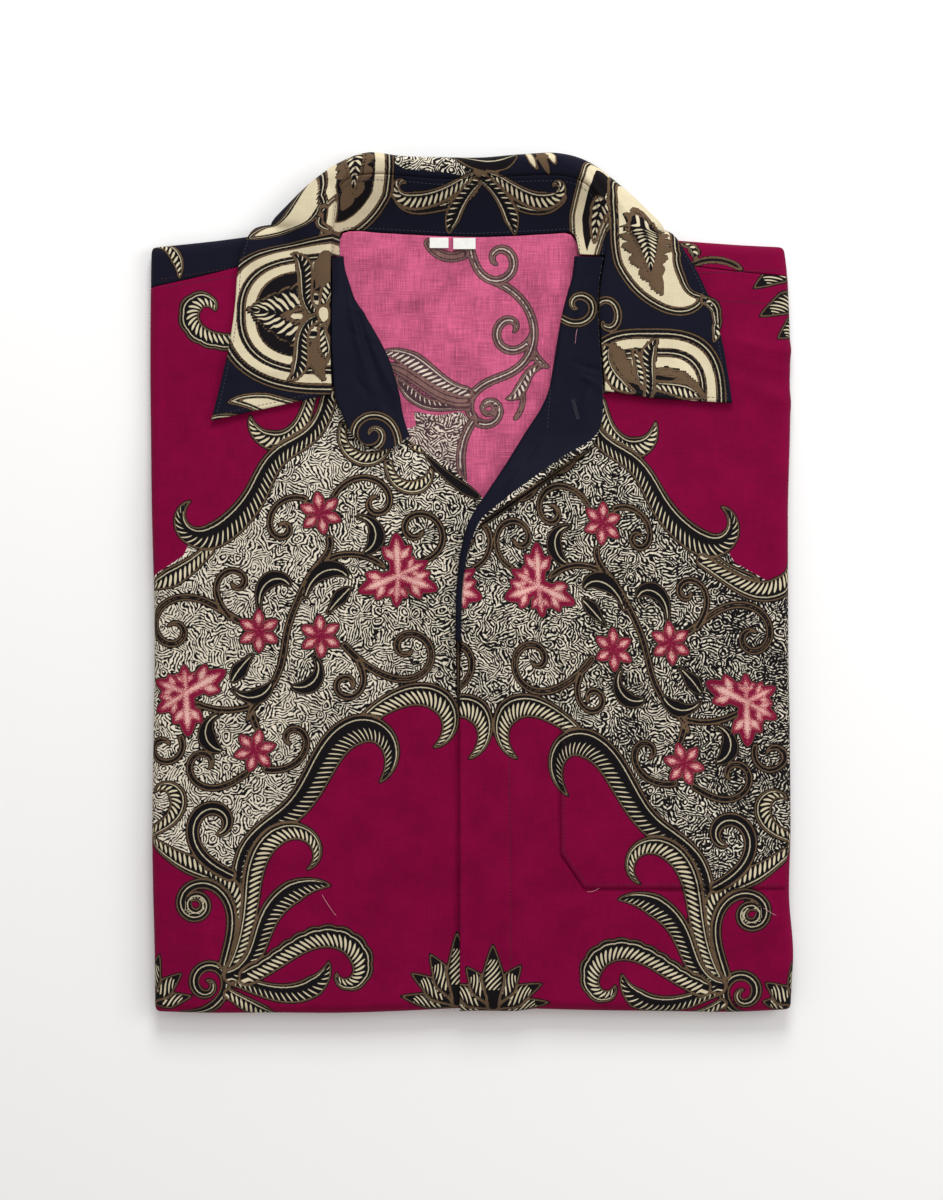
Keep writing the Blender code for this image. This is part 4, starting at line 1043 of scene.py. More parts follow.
LEAVES = strokes(
    (Kind.RIBBED, -150.7, 19.4, 226, 42.1, (-0.5,), 5.7, 1),
    (Kind.RIBBED, -92.1, 107.6, 252, 57.7, (0.6, -3.9, -4.1), 5.5, 1),
    (Kind.HATCHED, -81.8, 107.4, 259, 144.6, (-1.7, -5.7, 6.0, -2.5, -2.2, -11.9, -14.6), 7.3, 1),
    (Kind.RIBBED, -66.7, -87.9, 64, 91.1, (-2.6, -1.4, -6.0, -5.5), 6.8, -1),
    (Kind.HATCHED, -134.0, -186.4, 80, 174.8, (3.1, -6.7, 4.2, -1.8, -12.5, -7.2), 8.4, -1),
    (Kind.RIBBED, -134.0, -209.1, 97, 94.6, (-3.2, 5.3, -1.2, -1.5), 5.5, -1),
    (Kind.RIBBED, -185.1, -144.1, 32, 46.9, (-0.7, 8.1), 4.7, 1),
    (Kind.LINED, -138.6, -167.3, 154, 78.0, (-0.5, -5.1, -12.7), 3.7, 1),
    (Kind.LINED, -164.7, -248.5, 8, 86.2, (1.1, 4.2, 9.6, 9.8, 27.4), 2.9, 1),
    (Kind.LINED, -141.9, -218.4, 77, 134.6, (-1.2, 12.3, 37.9), 2.9, 1),
    (Kind.RIBBED, -138.6, -235.8, 328, 34.4, (-0.0,), 5.2, -1),
    (Kind.HATCHED, -135.2, -227.7, 340, 63.9, (-0.3, 4.0), 6, -1),
    (Kind.RIBBED, -138.6, -224.2, 60, 128.1, (1.8, 0.7, -6.1, -13.4), 6, -1),
    (Kind.HATCHED, -137.5, -225.4, 16, 84.2, (5.5, -2.3, -2.8), 6.7, -1),
    (Kind.SCALLOPED, -128.2, -225.3, 22, 106.0, (2.2, -0.6, -4.4, -6.9, -19.8), 6.5, -1),
    (Kind.SCALLOPED, -138.6, 138.9, 176, 55.0, (-0.1, -9.1), 5.7, -1),
)


class Bloom(NamedTuple):
    """A small flower: its middle and its first petal's direction in degrees."""

    x: float
    y: float
    turn: float


BLOOMS = rows_of(
    Bloom,
    (-86.4, 40.3, 100.0), (-121.8, -27.5, 90.0), (-86.4, -30.4, 93.0), (-124.1, -96.0, 75.0),
)
BLOOM_REACH = 12.6


class LobedBloom(NamedTuple):
    """A large flower: its middle and each lobe's direction and reach."""

    x: float
    y: float
    lobes: tuple[tuple[float, float], ...]


LOBED_BLOOMS = rows_of(
    LobedBloom,
    (-41.8, 4.4, ((92.7, 24.4), (25.8, 18.7), (-19.7, 24.0), (-93.7, 18.0), (202.3, 24.5))),
    (-163.6, -62.9, ((94.0, 16.3), (29.4, 26.0), (-87.0, 25.0), (158.8, 19.3), (213.0, 20.1))),
)
WORM_GROUND = (
    (-73.0, 109.0), (-99.0, 80.0), (-112.0, 72.0), (-130.0, 40.0), (-140.0, 31.0), (-161.0, 25.0),
    (-165.0, 16.0), (-186.0, 2.0), (-205.0, 1.0), (-205.0, -152.0), (-183.0, -146.0), (-133.0, -174.0),
    (-120.0, -143.0), (-103.0, -132.0), (-86.0, -104.0), (-50.0, -69.0), (-36.0, -62.0), (-22.0, -62.0),
    (-2.0, -74.0), (28.0, -74.0), (28.0, 118.0), (-73.0, 118.0),
)


@dataclass(frozen=True)
class MirrorPrint:
    """Where the left front's print lies: the right one's mirrored, stretched a little and lower.

    The terms stand for 1, x, y, xx, xy and yy, with x and y in units of 100 mm from the origin.
    """

    fold: float = 12.7
    origin: tuple[float, float] = (0.0, -80.0)
    limits: tuple[float, float] = (1.95, 1.7)
    middle: tuple[float, ...] = (3.79, -7.12, -2.59, 2.05, -1.14, -0.85)
    lift: tuple[float, ...] = (-4.17, -9.12, 0.21, 5.31, 0.78, 0.98)

    def places(self, x: Grid, y: Grid) -> tuple[Grid, Grid]:
        """Turns places on the left front into those of the right front's print.

        Args:
            x: places across. On the fly band, short of the fold, the print runs back.
            y: places along.

        Returns:
            Places across and along.
        """
        x = self.fold + np.abs(x - self.fold)
        across = np.clip((x - self.origin[0]) / 100, -1.0, self.limits[0])
        along = np.clip((y - self.origin[1]) / 100, -self.limits[1], self.limits[1])
        terms = (np.ones_like(x), across, along, across**2, across * along, along**2)
        middle = sum(share * term for share, term in zip(self.middle, terms))
        lift = sum(share * term for share, term in zip(self.lift, terms))
        return 2 * middle - x, y - lift


class Leaflet(NamedTuple):
    """One spear of a lotus: from its base to its tip, and its half width."""

    base: tuple[float, float]
    tip: tuple[float, float]
    half_width: float

    def stroke(self) -> Stroke:
        """The spear as a stroke."""
        run = (self.tip[0] - self.base[0], self.tip[1] - self.base[1])
        curl = Curl(*self.base, math.degrees(math.atan2(run[1], run[0])), math.hypot(*run))
        return Stroke(Kind.SPEAR, curl, self.half_width, 1 if run[0] >= 0 else -1)


RIGHT_LOTUS = rows_of(
    Leaflet,
    ((-9.0, -242.5), (-39.8, -237.0), 5.2), ((-8.6, -240.5), (-34.0, -224.0), 6.4),
    ((-8.2, -238.5), (-23.4, -213.0), 6.6), ((-7.6, -240.5), (-8.0, -200.6), 6.2),
    ((-183.0, -241.0), (-160.4, -237.0), 4.6), ((-184.0, -239.0), (-166.4, -224.0), 5.6),
    ((-187.0, -238.0), (-178.8, -213.6), 5.6),
)
LEFT_LOTUS = rows_of(
    Leaflet,
    ((13.0, -243.5), (44.6, -240.6), 5.0), ((13.4, -241.5), (40.4, -230.0), 6.2),
    ((12.4, -243.5), (-18.0, -240.6), 5.0), ((12.0, -241.5), (-14.0, -230.0), 6.2),
    ((13.0, -240.0), (28.4, -219.4), 6.4), ((12.4, -240.0), (-2.6, -220.2), 6.4),
    ((12.8, -241.5), (12.5, -207.6), 6.6), ((185.0, -243.5), (167.6, -240.0), 4.8),
    ((186.0, -241.5), (169.2, -229.4), 5.8), ((189.0, -239.5), (185.0, -218.0), 5.8),
)
# Painted shade drawn into the fronts' print: the dark crack beside the fly band's edge, the shadow cast by the left
# lapel's edge, and dark ovals beside the collar seams. The stroke at the right front's opening is partly a dark leaf
# of the print and partly painted shade inside its folded edge.
UNDERLAP_SHADE = Stroke(Kind.SHADE, Curl(-7.3, -26.0, -90.0, 46.0, (0.0,)), 0.7, 0)
OPENING_LEAF_AND_SHADE = Stroke(Kind.SHADE, Curl(3.2, 50.2, 151.0, 38.0, (-0.35,)), 2.9, 0)
LAPEL_SHADE = Stroke(Kind.SHADE, Curl(4.2, 32.2, 34.9, 80.0, (0.0,)), 1.3, 0)
SEAM_SHADES = (Oval(-81.0, 157.0, 3.0, 45.0, 8.0, Bands()), Oval(77.0, 156.0, 3.4, 46.0, 8.0, Bands()))
SIDE_HOOK = Stroke(Kind.RIBBED, Curl(133.0, 12.8, -34, 76.0, (-0.1, 0.4, 3.5, 4.5, 0.8)), 6.0, 1)
SHOULDER_LOTUS = rows_of(
    Leaflet,
    ((190.0, 187.5), (163.0, 170.2), 7.0), ((193.0, 167.8), (166.5, 154.0), 6.6),
    ((193.0, 152.7), (176.9, 141.2), 6.0),
)

COLLAR_RIGHT_BACK_STROKES = strokes(
    (Kind.PAISLEY, -79.6, 258.6, 251, 72.7, (-1.3, 0.1), 15.5, 1),
    (Kind.DARK_PAISLEY, -69.0, 261.9, 287, 68.1, (-0.7, -2.0), 21.5, 1),
    (Kind.BROWN, -68.9, 257.3, 289, 43.7, (-0.9,), 9.0, 1),
    (Kind.TWIN, -67.9, 254.3, 284, 30.0, (-0.5,), 5.8, 1),
    (Kind.LINED, -78.3, 220.7, 163, 27.3, (4.7, 1.1), 1.9, 1),
)
COLLAR_RIGHT_FRONT_STROKES = strokes(
    (Kind.TWIN, -96.5, 153.9, 176, 30.8, (-0.1,), 16.5, 1),
    (Kind.BROWN, -93.9, 153.6, 182, 14.8, (-0.1,), 4.6, 1),
    (Kind.CREAM, -98.1, 153.3, 176, 6.9, (0.0,), 2.3, 1),
    (Kind.BROWN, -83.4, 186.8, 271, 17.8, (-0.6,), 5.2, 1),
    (Kind.BROWN, -84.4, 140.4, 253, 24.5, (-0.3, 2.5), 5.2, 1),
    (Kind.RIBBED, -84.9, 159.4, 70, 14.3, (0.1,), 3.6, 1),
    (Kind.RIBBED, -85.5, 145.7, 282, 17.1, (-0.1,), 3.6, -1),
    (Kind.HATCHED, -88.6, 154.2, 151, 41.4, (-4.5, 4.9), 4.3, -1),
    (Kind.HATCHED, -89.7, 151.5, 199, 40.4, (4.9, -4.9), 4.3, 1),
    (Kind.CREAM, -84.6, 155.7, 278, 6.3, (-0.3,), 3.4, 1),
    (Kind.SLIM_PAISLEY, -100.2, 98.3, 170, 40.4, (-0.7, 1.6), 6.6, 1),
    (Kind.LINED, -130.8, 94.6, 167, 20.2, (0.5,), 2.0, 1),
)
COLLAR_LEFT_BACK_STROKES = strokes(
    (Kind.RIBBED, 63.7, 224.5, 36, 22.0, (-0.9,), 3.4, 1),
    (Kind.HATCHED, 62.7, 231.4, 25, 18.6, (-0.9,), 3.2, 1),
    (Kind.SLIM_PAISLEY, 75.7, 239.4, 256, 68.1, (-0.2, 1.3), 12.0, 1),
    (Kind.TWIN, 75.2, 218.5, 248, 23.5, (0.4,), 4.6, 1),
    (Kind.PAISLEY, 98.7, 237.4, 265, 94.9, (1.9, -0.9, 2.4, 1.9, 11.1), 20.0, 1),
    (Kind.BROWN, 99.2, 227.4, 277, 62.6, (-0.6, 1.5), 12.5, -1),
    (Kind.TWIN, 98.7, 222.5, 279, 44.2, (-0.1,), 8.4, 1),
    (Kind.LINED, 73.7, 161.0, 44, 32.4, (-6.9, -2.3, -11.5), 2.3, 1),
)
COLLAR_LEFT_FRONT_STROKES = strokes(
    (Kind.SCALLOPED, 134.6, 162.5, 340, 27.4, (-2.9, -0.3), 3.2, 1),
    (Kind.BROWN, 81.2, 134.5, 293, 24.9, (0.5,), 4.6, 1),
    (Kind.RIBBED, 77.7, 134.5, 261, 32.5, (1.5,), 4.0, -1),
    (Kind.RIBBED, 105.7, 113.5, 355, 27.7, (-0.3,), 4.4, -1),
    (Kind.BROWN, 107.7, 121.5, 2, 32.4, (-1.1,), 2.0, 1),
    (Kind.HATCHED, 101.7, 107.6, 70, 34.6, (2.4, -3.8), 4.0, 1),
    (Kind.RIBBED, 94.2, 132.5, 287, 21.3, (-0.2,), 2.6, 1),
)
STAND_STROKES = strokes(
    (Kind.LINED, -3.9, 246.6, 322, 31.7, (1.4,), 7.0, 1),
    (Kind.CREAM, 32.7, 248.2, 279, 13.6, (0.6,), 2.2, 1),
    (Kind.CREAM, 44.1, 249.0, 294, 10.6, (-0.0,), 2.6, 1),
    (Kind.BROWN, 38.4, 249.0, 290, 17.5, (0.1,), 2.4, 1),
    (Kind.LINED, 3.4, 228.6, 244, 54.9, (-3.8, 0.0, -5.2), 3.0, 1),
    (Kind.LINED, 9.9, 228.6, 318, 50.7, (0.4, 2.8), 3.0, 1),
    (Kind.RIBBED, 5.0, 233.1, 193, 62.7, (2.4, -1.1, -1.8, -22.9), 4.6, 1),
    (Kind.RIBBED, 7.4, 233.1, 356, 58.5, (-3.7, -0.1, 1.9, 4.2, 31.0), 4.6, -1),
    (Kind.HATCHED, 5.5, 231.0, 215, 35.9, (0.8,), 4.4, -1),
    (Kind.HATCHED, 7.0, 231.0, 327, 36.6, (-0.9,), 4.4, 1),
)
FACING_RIGHT_STROKES = strokes(
    (Kind.LINED, -41.2, 76.3, 94, 82.6, (0.2, 6.1, 6.9, 9.6, 10.7, 28.5), 2.4, 1),
)
FACING_LEFT_STROKES = strokes(
    (Kind.LINED, 47.0, 157.5, 309, 53.8, (1.2, 4.1, 6.9, 7.7, 20.5), 2.4, 1),
)
BACK_STROKES = strokes(
    (Kind.STEM, -24.2, 196.3, 297, 27.7, (1.9,), 2.6, 1),
    (Kind.LINED, 35.8, 143.3, 253, 22.7, (1.5,), 1.9, 1),
    (Kind.LINED, 35.7, 143.3, 244, 52.6, (-2.1, -5.9, -5.4, -17.3), 2.2, 1),
    (Kind.LINED, 13.9, 174.0, 340, 158.9, (-4.0, -5.4, -6.9, 12.2, 22.3, 68.3), 2.2, 1),
    (Kind.LINED, 0.0, 192.3, 283, 66.0, (0.3, 6.2, 7.1, 17.6), 2.2, 1),
    (Kind.LINED, 1.2, 93.4, 234, 37.1, (1.0,), 2.3, 1),
    (Kind.HATCHED, -2.7, 102.2, 176, 47.8, (1.1, -2.3, 0.2), 3.6, -1),
    (Kind.STEM, -2.7, 105.6, 186, 52.4, (-2.5, 1.9), 2.6, 1),
    (Kind.RIBBED, -2.7, 110.4, 172, 55.7, (-2.3, 2.9), 5.2, 1),
    (Kind.RIBBED, 37.9, 124.7, 203, 26.6, (3.3, -4.3), 3.2, 1),
    (Kind.STEM, 30.1, 108.1, 272, 15.1, (-0.8,), 1.2, 1),
)
YOKE_LEFT_STROKES = strokes(
    (Kind.STEM, 127.6, 183.6, 26, 29.5, (-1.1,), 1.5, 1),
    (Kind.RIBBED, 122.7, 195.5, 353, 12.3, (-1.7,), 2.6, 1),
)
YOKE_RIGHT_STROKES = strokes(
    (Kind.RIBBED, -186.2, 197.4, 1, 32.7, (-1.8,), 3.4, -1),
)
FRONT_EXTRA_STROKES = strokes(
    (Kind.RIBBED, -38.3, 92.5, 285, 20.9, (0.6,), 3.6, -1),
    (Kind.RIBBED, -73.7, 90.2, 253, 43.9, (3.0,), 4.0, 1),
    (Kind.RIBBED, -47.5, 68.7, 273, 39.3, (2.4, 4.0), 4.0, 1),
)
BACK_WORMS = (
    (-33.1, 99.3), (-19.4, 96.8), (-5.7, 99.3), (0.2, 93.4), (-6.7, 79.7), (-7.6, 66.9), (-3.7, 57.1),
    (-16.5, 60.0), (-40.0, 70.0), (-40.0, 88.0), (-31.5, 91.0),
)
CREST_WORMS = (
    (-49.5, 248.2), (-32.4, 248.2), (-13.7, 246.5), (-0.7, 246.5), (3.4, 236.8), (-2.3, 232.3),
    (-13.7, 234.7), (-25.9, 235.6), (-38.1, 236.8), (-44.6, 240.9),
)
RIGHT_OVAL = Oval(-81.2, 154.6, 65.0, 46.0, 2.4, Bands(
    creams=((6.4, 11.4), (16.8, 22.0)), browns=((5.0, 6.4), (11.4, 12.2), (15.6, 16.8), (22.0, 23.2)),
    lines=(2.8, 13.9)))
LEFT_OVAL = Oval(103.8, 97.7, 43.0, 48.7, 3.0, Bands(
    creams=((6.0, 11.2), (16.6, 22.4)), browns=((4.8, 6.0), (11.2, 12.2), (15.4, 16.6), (22.4, 23.6)),
    lines=(2.9, 14.0)))


class WaxGround(NamedTuple):
    """A part of the cloth filled with short wax strokes, by its outline."""

    outline: tuple[tuple[float, float], ...]


Layer = Stroke | Oval | WaxGround
Layers = tuple[Layer, ...]


@dataclass(frozen=True)
class Dye:
    """A part of the cloth dyed in the petal ink: everything past one side of a line."""

    from_across: float

    def lay(self, canvas: Canvas) -> None:
        """Lays the dye on the print."""
        canvas.lay(np.arange(len(canvas.x)), self.from_across - canvas.x, petal=1.0)


def paint_layers(canvas: Canvas, layers: Layers) -> Canvas:
    """Draws layers in order on a canvas."""
    for layer in layers:
        if isinstance(layer, WaxGround):
            canvas.worms(layer.outline)
        elif isinstance(layer, Oval):
            canvas.oval(layer)
        else:
            canvas.draw(layer)
    return canvas


def paint(x: Grid, y: Grid, layers: Layers) -> dict[str, Grid]:
    """The channels of one piece's print at places x, y."""
    return paint_layers(Canvas(x, y), layers).channels()


def paint_front(canvas: Canvas) -> None:
    """Draws what both fronts share, in the right front's places."""
    paint_layers(canvas, (WaxGround(WORM_GROUND),) + VINES + DROPS)
    for bloom in BLOOMS:
        canvas.bloom(RosetteShape().petals(bloom.x, bloom.y, BLOOM_REACH, bloom.turn))
    for flower in LOBED_BLOOMS:
        canvas.bloom(LobedShape().petals(*flower))
    paint_layers(canvas, LEAVES + FRONT_EXTRA_STROKES)


def paint_right(x: Grid, y: Grid) -> dict[str, Grid]:
    """The right front's print at places x, y, with painted shade beside the collar seam and the fly band, and a dark
    leaf with painted shade at the opening.
    """
    canvas = Canvas(x, y)
    paint_front(canvas)
    lotus = tuple(leaflet.stroke() for leaflet in RIGHT_LOTUS)
    return paint_layers(canvas, (SEAM_SHADES[0],) + lotus + (UNDERLAP_SHADE, OPENING_LEAF_AND_SHADE)).channels()


def paint_left(x: Grid, y: Grid) -> dict[str, Grid]:
    """The left front's print at places x, y: the right one's mirrored, then its own, with painted shade beside the
    collar seam and a painted shadow under the lapel's edge.
    """
    canvas = Canvas(*MirrorPrint().places(x, y))
    paint_front(canvas)
    canvas.move_to(x, y)
    spears = tuple(leaflet.stroke() for leaflet in LEFT_LOTUS + SHOULDER_LOTUS)
    return paint_layers(canvas, (SIDE_HOOK, SEAM_SHADES[1]) + spears + (LAPEL_SHADE,)).channels()


def paint_yoke(x: Grid, y: Grid) -> dict[str, Grid]:
    """The yoke's print: dark over the right shoulder and red over the left one."""
    canvas = Canvas(x, y)
    Dye(0.0).lay(canvas)
    return paint_layers(canvas, YOKE_RIGHT_STROKES + YOKE_LEFT_STROKES).channels()


COLLAR_LAYERS: Layers = (
    (WaxGround(CREST_WORMS),) + STAND_STROKES + COLLAR_RIGHT_BACK_STROKES + (RIGHT_OVAL,)
    + COLLAR_RIGHT_FRONT_STROKES + COLLAR_LEFT_BACK_STROKES + (LEFT_OVAL,) + COLLAR_LEFT_FRONT_STROKES
)
BACK_LAYERS: Layers = (WaxGround(BACK_WORMS),) + BACK_STROKES
FACING_LAYERS: Layers = FACING_RIGHT_STROKES + FACING_LEFT_STROKES


# --- Creases -----------------------------------------------------------------------


class Crease(NamedTuple):
    """A soft ridge, or a trough where its height is under 0, along a curl."""

    x: float
    y: float
    heading: float
    length: float
    bend: float
    width: float
    height: float


BAND_CREASES = rows_of(
    Crease,
    (-4.6, 4.0, -90.4, 140.0, 0.0, 1.7, 1.2), (-5.0, -110.0, -90.2, 138.0, 0.0, 1.7, 1.1),
    (21.6, -16.0, -89.6, 120.0, 0.0, 1.1, -0.8), (22.4, -110.0, -89.6, 136.0, 0.0, 1.1, -0.85),
    (19.0, -60.0, -90.0, 60.0, 0.0, 2.6, 0.4), (19.6, -150.0, -89.0, 70.0, 0.0, 2.6, 0.4),
    (50.3, -36.0, -90.0, 120.0, 0.0, 1.3, -1.0), (51.6, -152.0, -55.0, 26.0, 0.0, 1.3, -1.0),
    (64.0, -176.4, 0.0, 112.0, 0.0, 1.3, -1.0),
)
UNDERLAP_CREASES = rows_of(
    Crease,
    (-6.9, -24.0, -90.5, 114.0, 0.0, 1.8, -0.75), (-7.2, -110.0, -90.2, 138.0, 0.0, 1.8, -0.85),
)
FRONT_CREASES = rows_of(
    Crease,
    (150.0, 141.0, -22.0, 44.0, 0.5, 4.5, 1.12), (146.0, 128.0, -28.0, 52.0, 0.4, 5.0, -0.75),
    (152.0, 118.0, -30.0, 46.0, 0.3, 4.5, 0.90), (120.0, 96.0, -48.0, 70.0, -0.4, 9.0, 0.60),
    (-178.0, 120.0, -64.0, 90.0, 0.5, 9.0, 0.83), (-150.0, 150.0, -80.0, 60.0, 0.3, 7.0, -0.52),
    (-118.0, 96.0, -58.0, 60.0, -0.4, 6.0, 0.60), (-60.0, 86.0, -70.0, 80.0, 0.4, 8.0, 0.60),
    (-30.0, 20.0, -86.0, 110.0, -0.2, 7.0, 0.68), (-172.0, -60.0, -40.0, 80.0, 0.5, 9.0, 0.60),
    (-60.0, -120.0, -104.0, 110.0, 0.3, 12.0, 0.75), (-84.0, -136.0, -100.0, 90.0, 0.2, 8.0, -0.52),
    (-170.0, -205.0, 14.0, 90.0, -0.4, 6.0, 0.75), (8.0, -110.0, -92.0, 120.0, 0.1, 7.0, 0.60),
    (32.0, -60.0, -84.0, 90.0, 0.2, 6.0, -0.52), (36.0, -184.0, -6.0, 80.0, 0.3, 6.0, 0.75),
    (70.0, -196.0, 8.0, 100.0, -0.4, 7.0, 0.68), (90.0, -92.0, -62.0, 70.0, 0.3, 8.0, 0.60),
    (136.0, -30.0, -74.0, 90.0, 0.3, 9.0, 0.60), (-196.0, 60.0, -88.0, 220.0, 0.1, 5.0, 0.60),
    (198.0, 90.0, -92.0, 240.0, 0.1, 5.0, 0.60), (-120.0, -258.0, 2.0, 150.0, 0.0, 4.0, 0.60),
    (40.0, -258.0, -3.0, 120.0, 0.0, 4.0, 0.60),
)
COLLAR_CREASES = rows_of(
    Crease,
    (-84.0, 246.0, -78.0, 26.0, 0.3, 3.0, -1.12), (-70.0, 248.0, -100.0, 24.0, -0.3, 3.0, 0.96),
    (-116.0, 205.0, -118.0, 44.0, 0.3, 5.0, 0.96), (-140.0, 150.0, -70.0, 60.0, 0.3, 6.0, -0.80),
    (-96.0, 120.0, 170.0, 60.0, 0.3, 4.5, 0.88), (62.0, 246.0, -60.0, 26.0, 0.3, 3.0, -1.12),
    (72.0, 240.0, -52.0, 34.0, 0.4, 3.2, 1.12), (96.0, 205.0, -70.0, 50.0, -0.3, 5.0, 0.88),
    (120.0, 160.0, -80.0, 46.0, 0.3, 5.0, -0.80), (92.0, 118.0, -4.0, 50.0, 0.3, 4.5, 0.80),
    (-40.0, 240.0, -94.0, 20.0, 0.2, 4.0, -0.64), (20.0, 240.0, -86.0, 20.0, 0.2, 4.0, 0.64),
)
FACING_CREASES = rows_of(
    Crease,
    (-73.0, 182.0, -82.0, 84.0, 0.2, 2.6, 1.5), (-68.5, 172.0, -80.0, 70.0, 0.25, 2.0, -1.2),
    (-62.0, 150.0, -72.0, 60.0, 0.3, 2.4, 1.0), (-70.0, 124.0, -60.0, 40.0, 0.5, 2.2, -0.8),
    (-60.0, 112.0, -58.0, 30.0, 0.4, 2.4, 0.8), (66.0, 180.0, -96.0, 60.0, -0.2, 2.4, 0.9),
    (62.0, 150.0, -100.0, 50.0, -0.2, 2.0, -0.8), (70.0, 130.0, -92.0, 44.0, -0.4, 2.6, 1.3),
    (58.0, 128.0, -28.0, 22.0, 0.4, 1.6, -0.9), (60.0, 120.0, -18.0, 20.0, -0.4, 1.6, 0.9),
    (-72.0, 160.0, -30.0, 16.0, 0.4, 1.5, 0.8), (-71.0, 146.0, -40.0, 20.0, 0.4, 1.6, -0.8),
    (52.0, 104.0, -124.0, 60.0, 0.2, 2.6, -0.8), (44.0, 84.0, -130.0, 50.0, 0.2, 2.4, 1.2),
    (28.0, 62.0, -128.0, 40.0, 0.3, 2.2, -0.7),
)
BACK_CREASES = rows_of(
    Crease,
    (-30.0, 190.0, -84.0, 70.0, 0.3, 7.0, 0.35), (10.0, 180.0, -96.0, 90.0, -0.3, 8.0, 0.3),
    (34.0, 150.0, -116.0, 80.0, 0.2, 6.0, -0.3),
)


@dataclass(frozen=True)
class Waves:
    """Slow waves in pressed cloth, up and down it and across it.

    Attributes:
        height: how high they stand, in mm.
        across: the lengths of the waves across, and of how they wander.
        along: the same for the fainter waves along.
        wander: how far each set wanders, in radians.
        faint: the share of the second set.
    """

    height: float = 0.12
    across: tuple[float, float] = (19.0, 31.0)
    along: tuple[float, float] = (15.0, 23.0)
    wander: tuple[float, float] = (1.7, 1.3)
    faint: float = 0.7

    def heights(self, x: Grid, y: Grid) -> Grid:
        """The waves' heights at places."""
        wide = np.sin(x / self.across[0] + np.sin(y / self.across[1]) * self.wander[0])
        long = np.sin(y / self.along[0] + self.wander[1] * np.sin(x / self.along[1]))
        return self.height * (wide + self.faint * long)


CREASE_REACH = 3  # how many widths off its line a crease still counts
CREASE_SPACING = 2.0  # mm between the points of its line
CREASE_WIDTHS = (0.75, 0.5)  # its width at the start and what it gains to its end, by its own
CREASE_ENDS = (0.02, 0.98)  # the shares of its length between which it swells
CREASE_SWELL = 0.8  # how full it swells
CREASE_UNEVEN = (0.3, 11.0)  # how much and how often its height varies along it


def crease_heights(x: Grid, y: Grid, creases: Sequence[Crease]) -> Grid:
    """How far creased cloth stands off its smooth form.

    Args:
        x: places across.
        y: places along.
        creases: the creases.

    Returns:
        The height at each place.
    """
    flat_x, flat_y, total = x.ravel(), y.ravel(), np.array(Waves().heights(x, y).ravel())
    much, often = CREASE_UNEVEN
    for crease in creases:
        line = Curl(crease.x, crease.y, crease.heading, crease.length, (crease.bend,))
        points, _, share = line.spine(CREASE_SPACING)
        reach = CREASE_REACH * crease.width
        low, high = points.min(0) - reach, points.max(0) + reach
        near = np.nonzero((flat_x > low[0]) & (flat_x < high[0]) & (flat_y > low[1]) & (flat_y < high[1]))[0]
        gap = (flat_x[near][:, None] - points[:, 0]) ** 2 + (flat_y[near][:, None] - points[:, 1]) ** 2
        nearest = gap.argmin(1)
        at = share[nearest]
        width = crease.width * (CREASE_WIDTHS[0] + CREASE_WIDTHS[1] * at)
        off = np.sqrt(gap[np.arange(len(near)), nearest]) / width
        swell = np.sin(np.pi * np.clip(at, *CREASE_ENDS)) ** CREASE_SWELL
        uneven = 1 + much * np.sin(at * often + crease.x)
        total[near] += crease.height * swell * uneven * np.exp(-off * off)
    return total.reshape(x.shape)


# --- Finishes ----------------------------------------------------------------------

Colour = tuple[float, float, float]


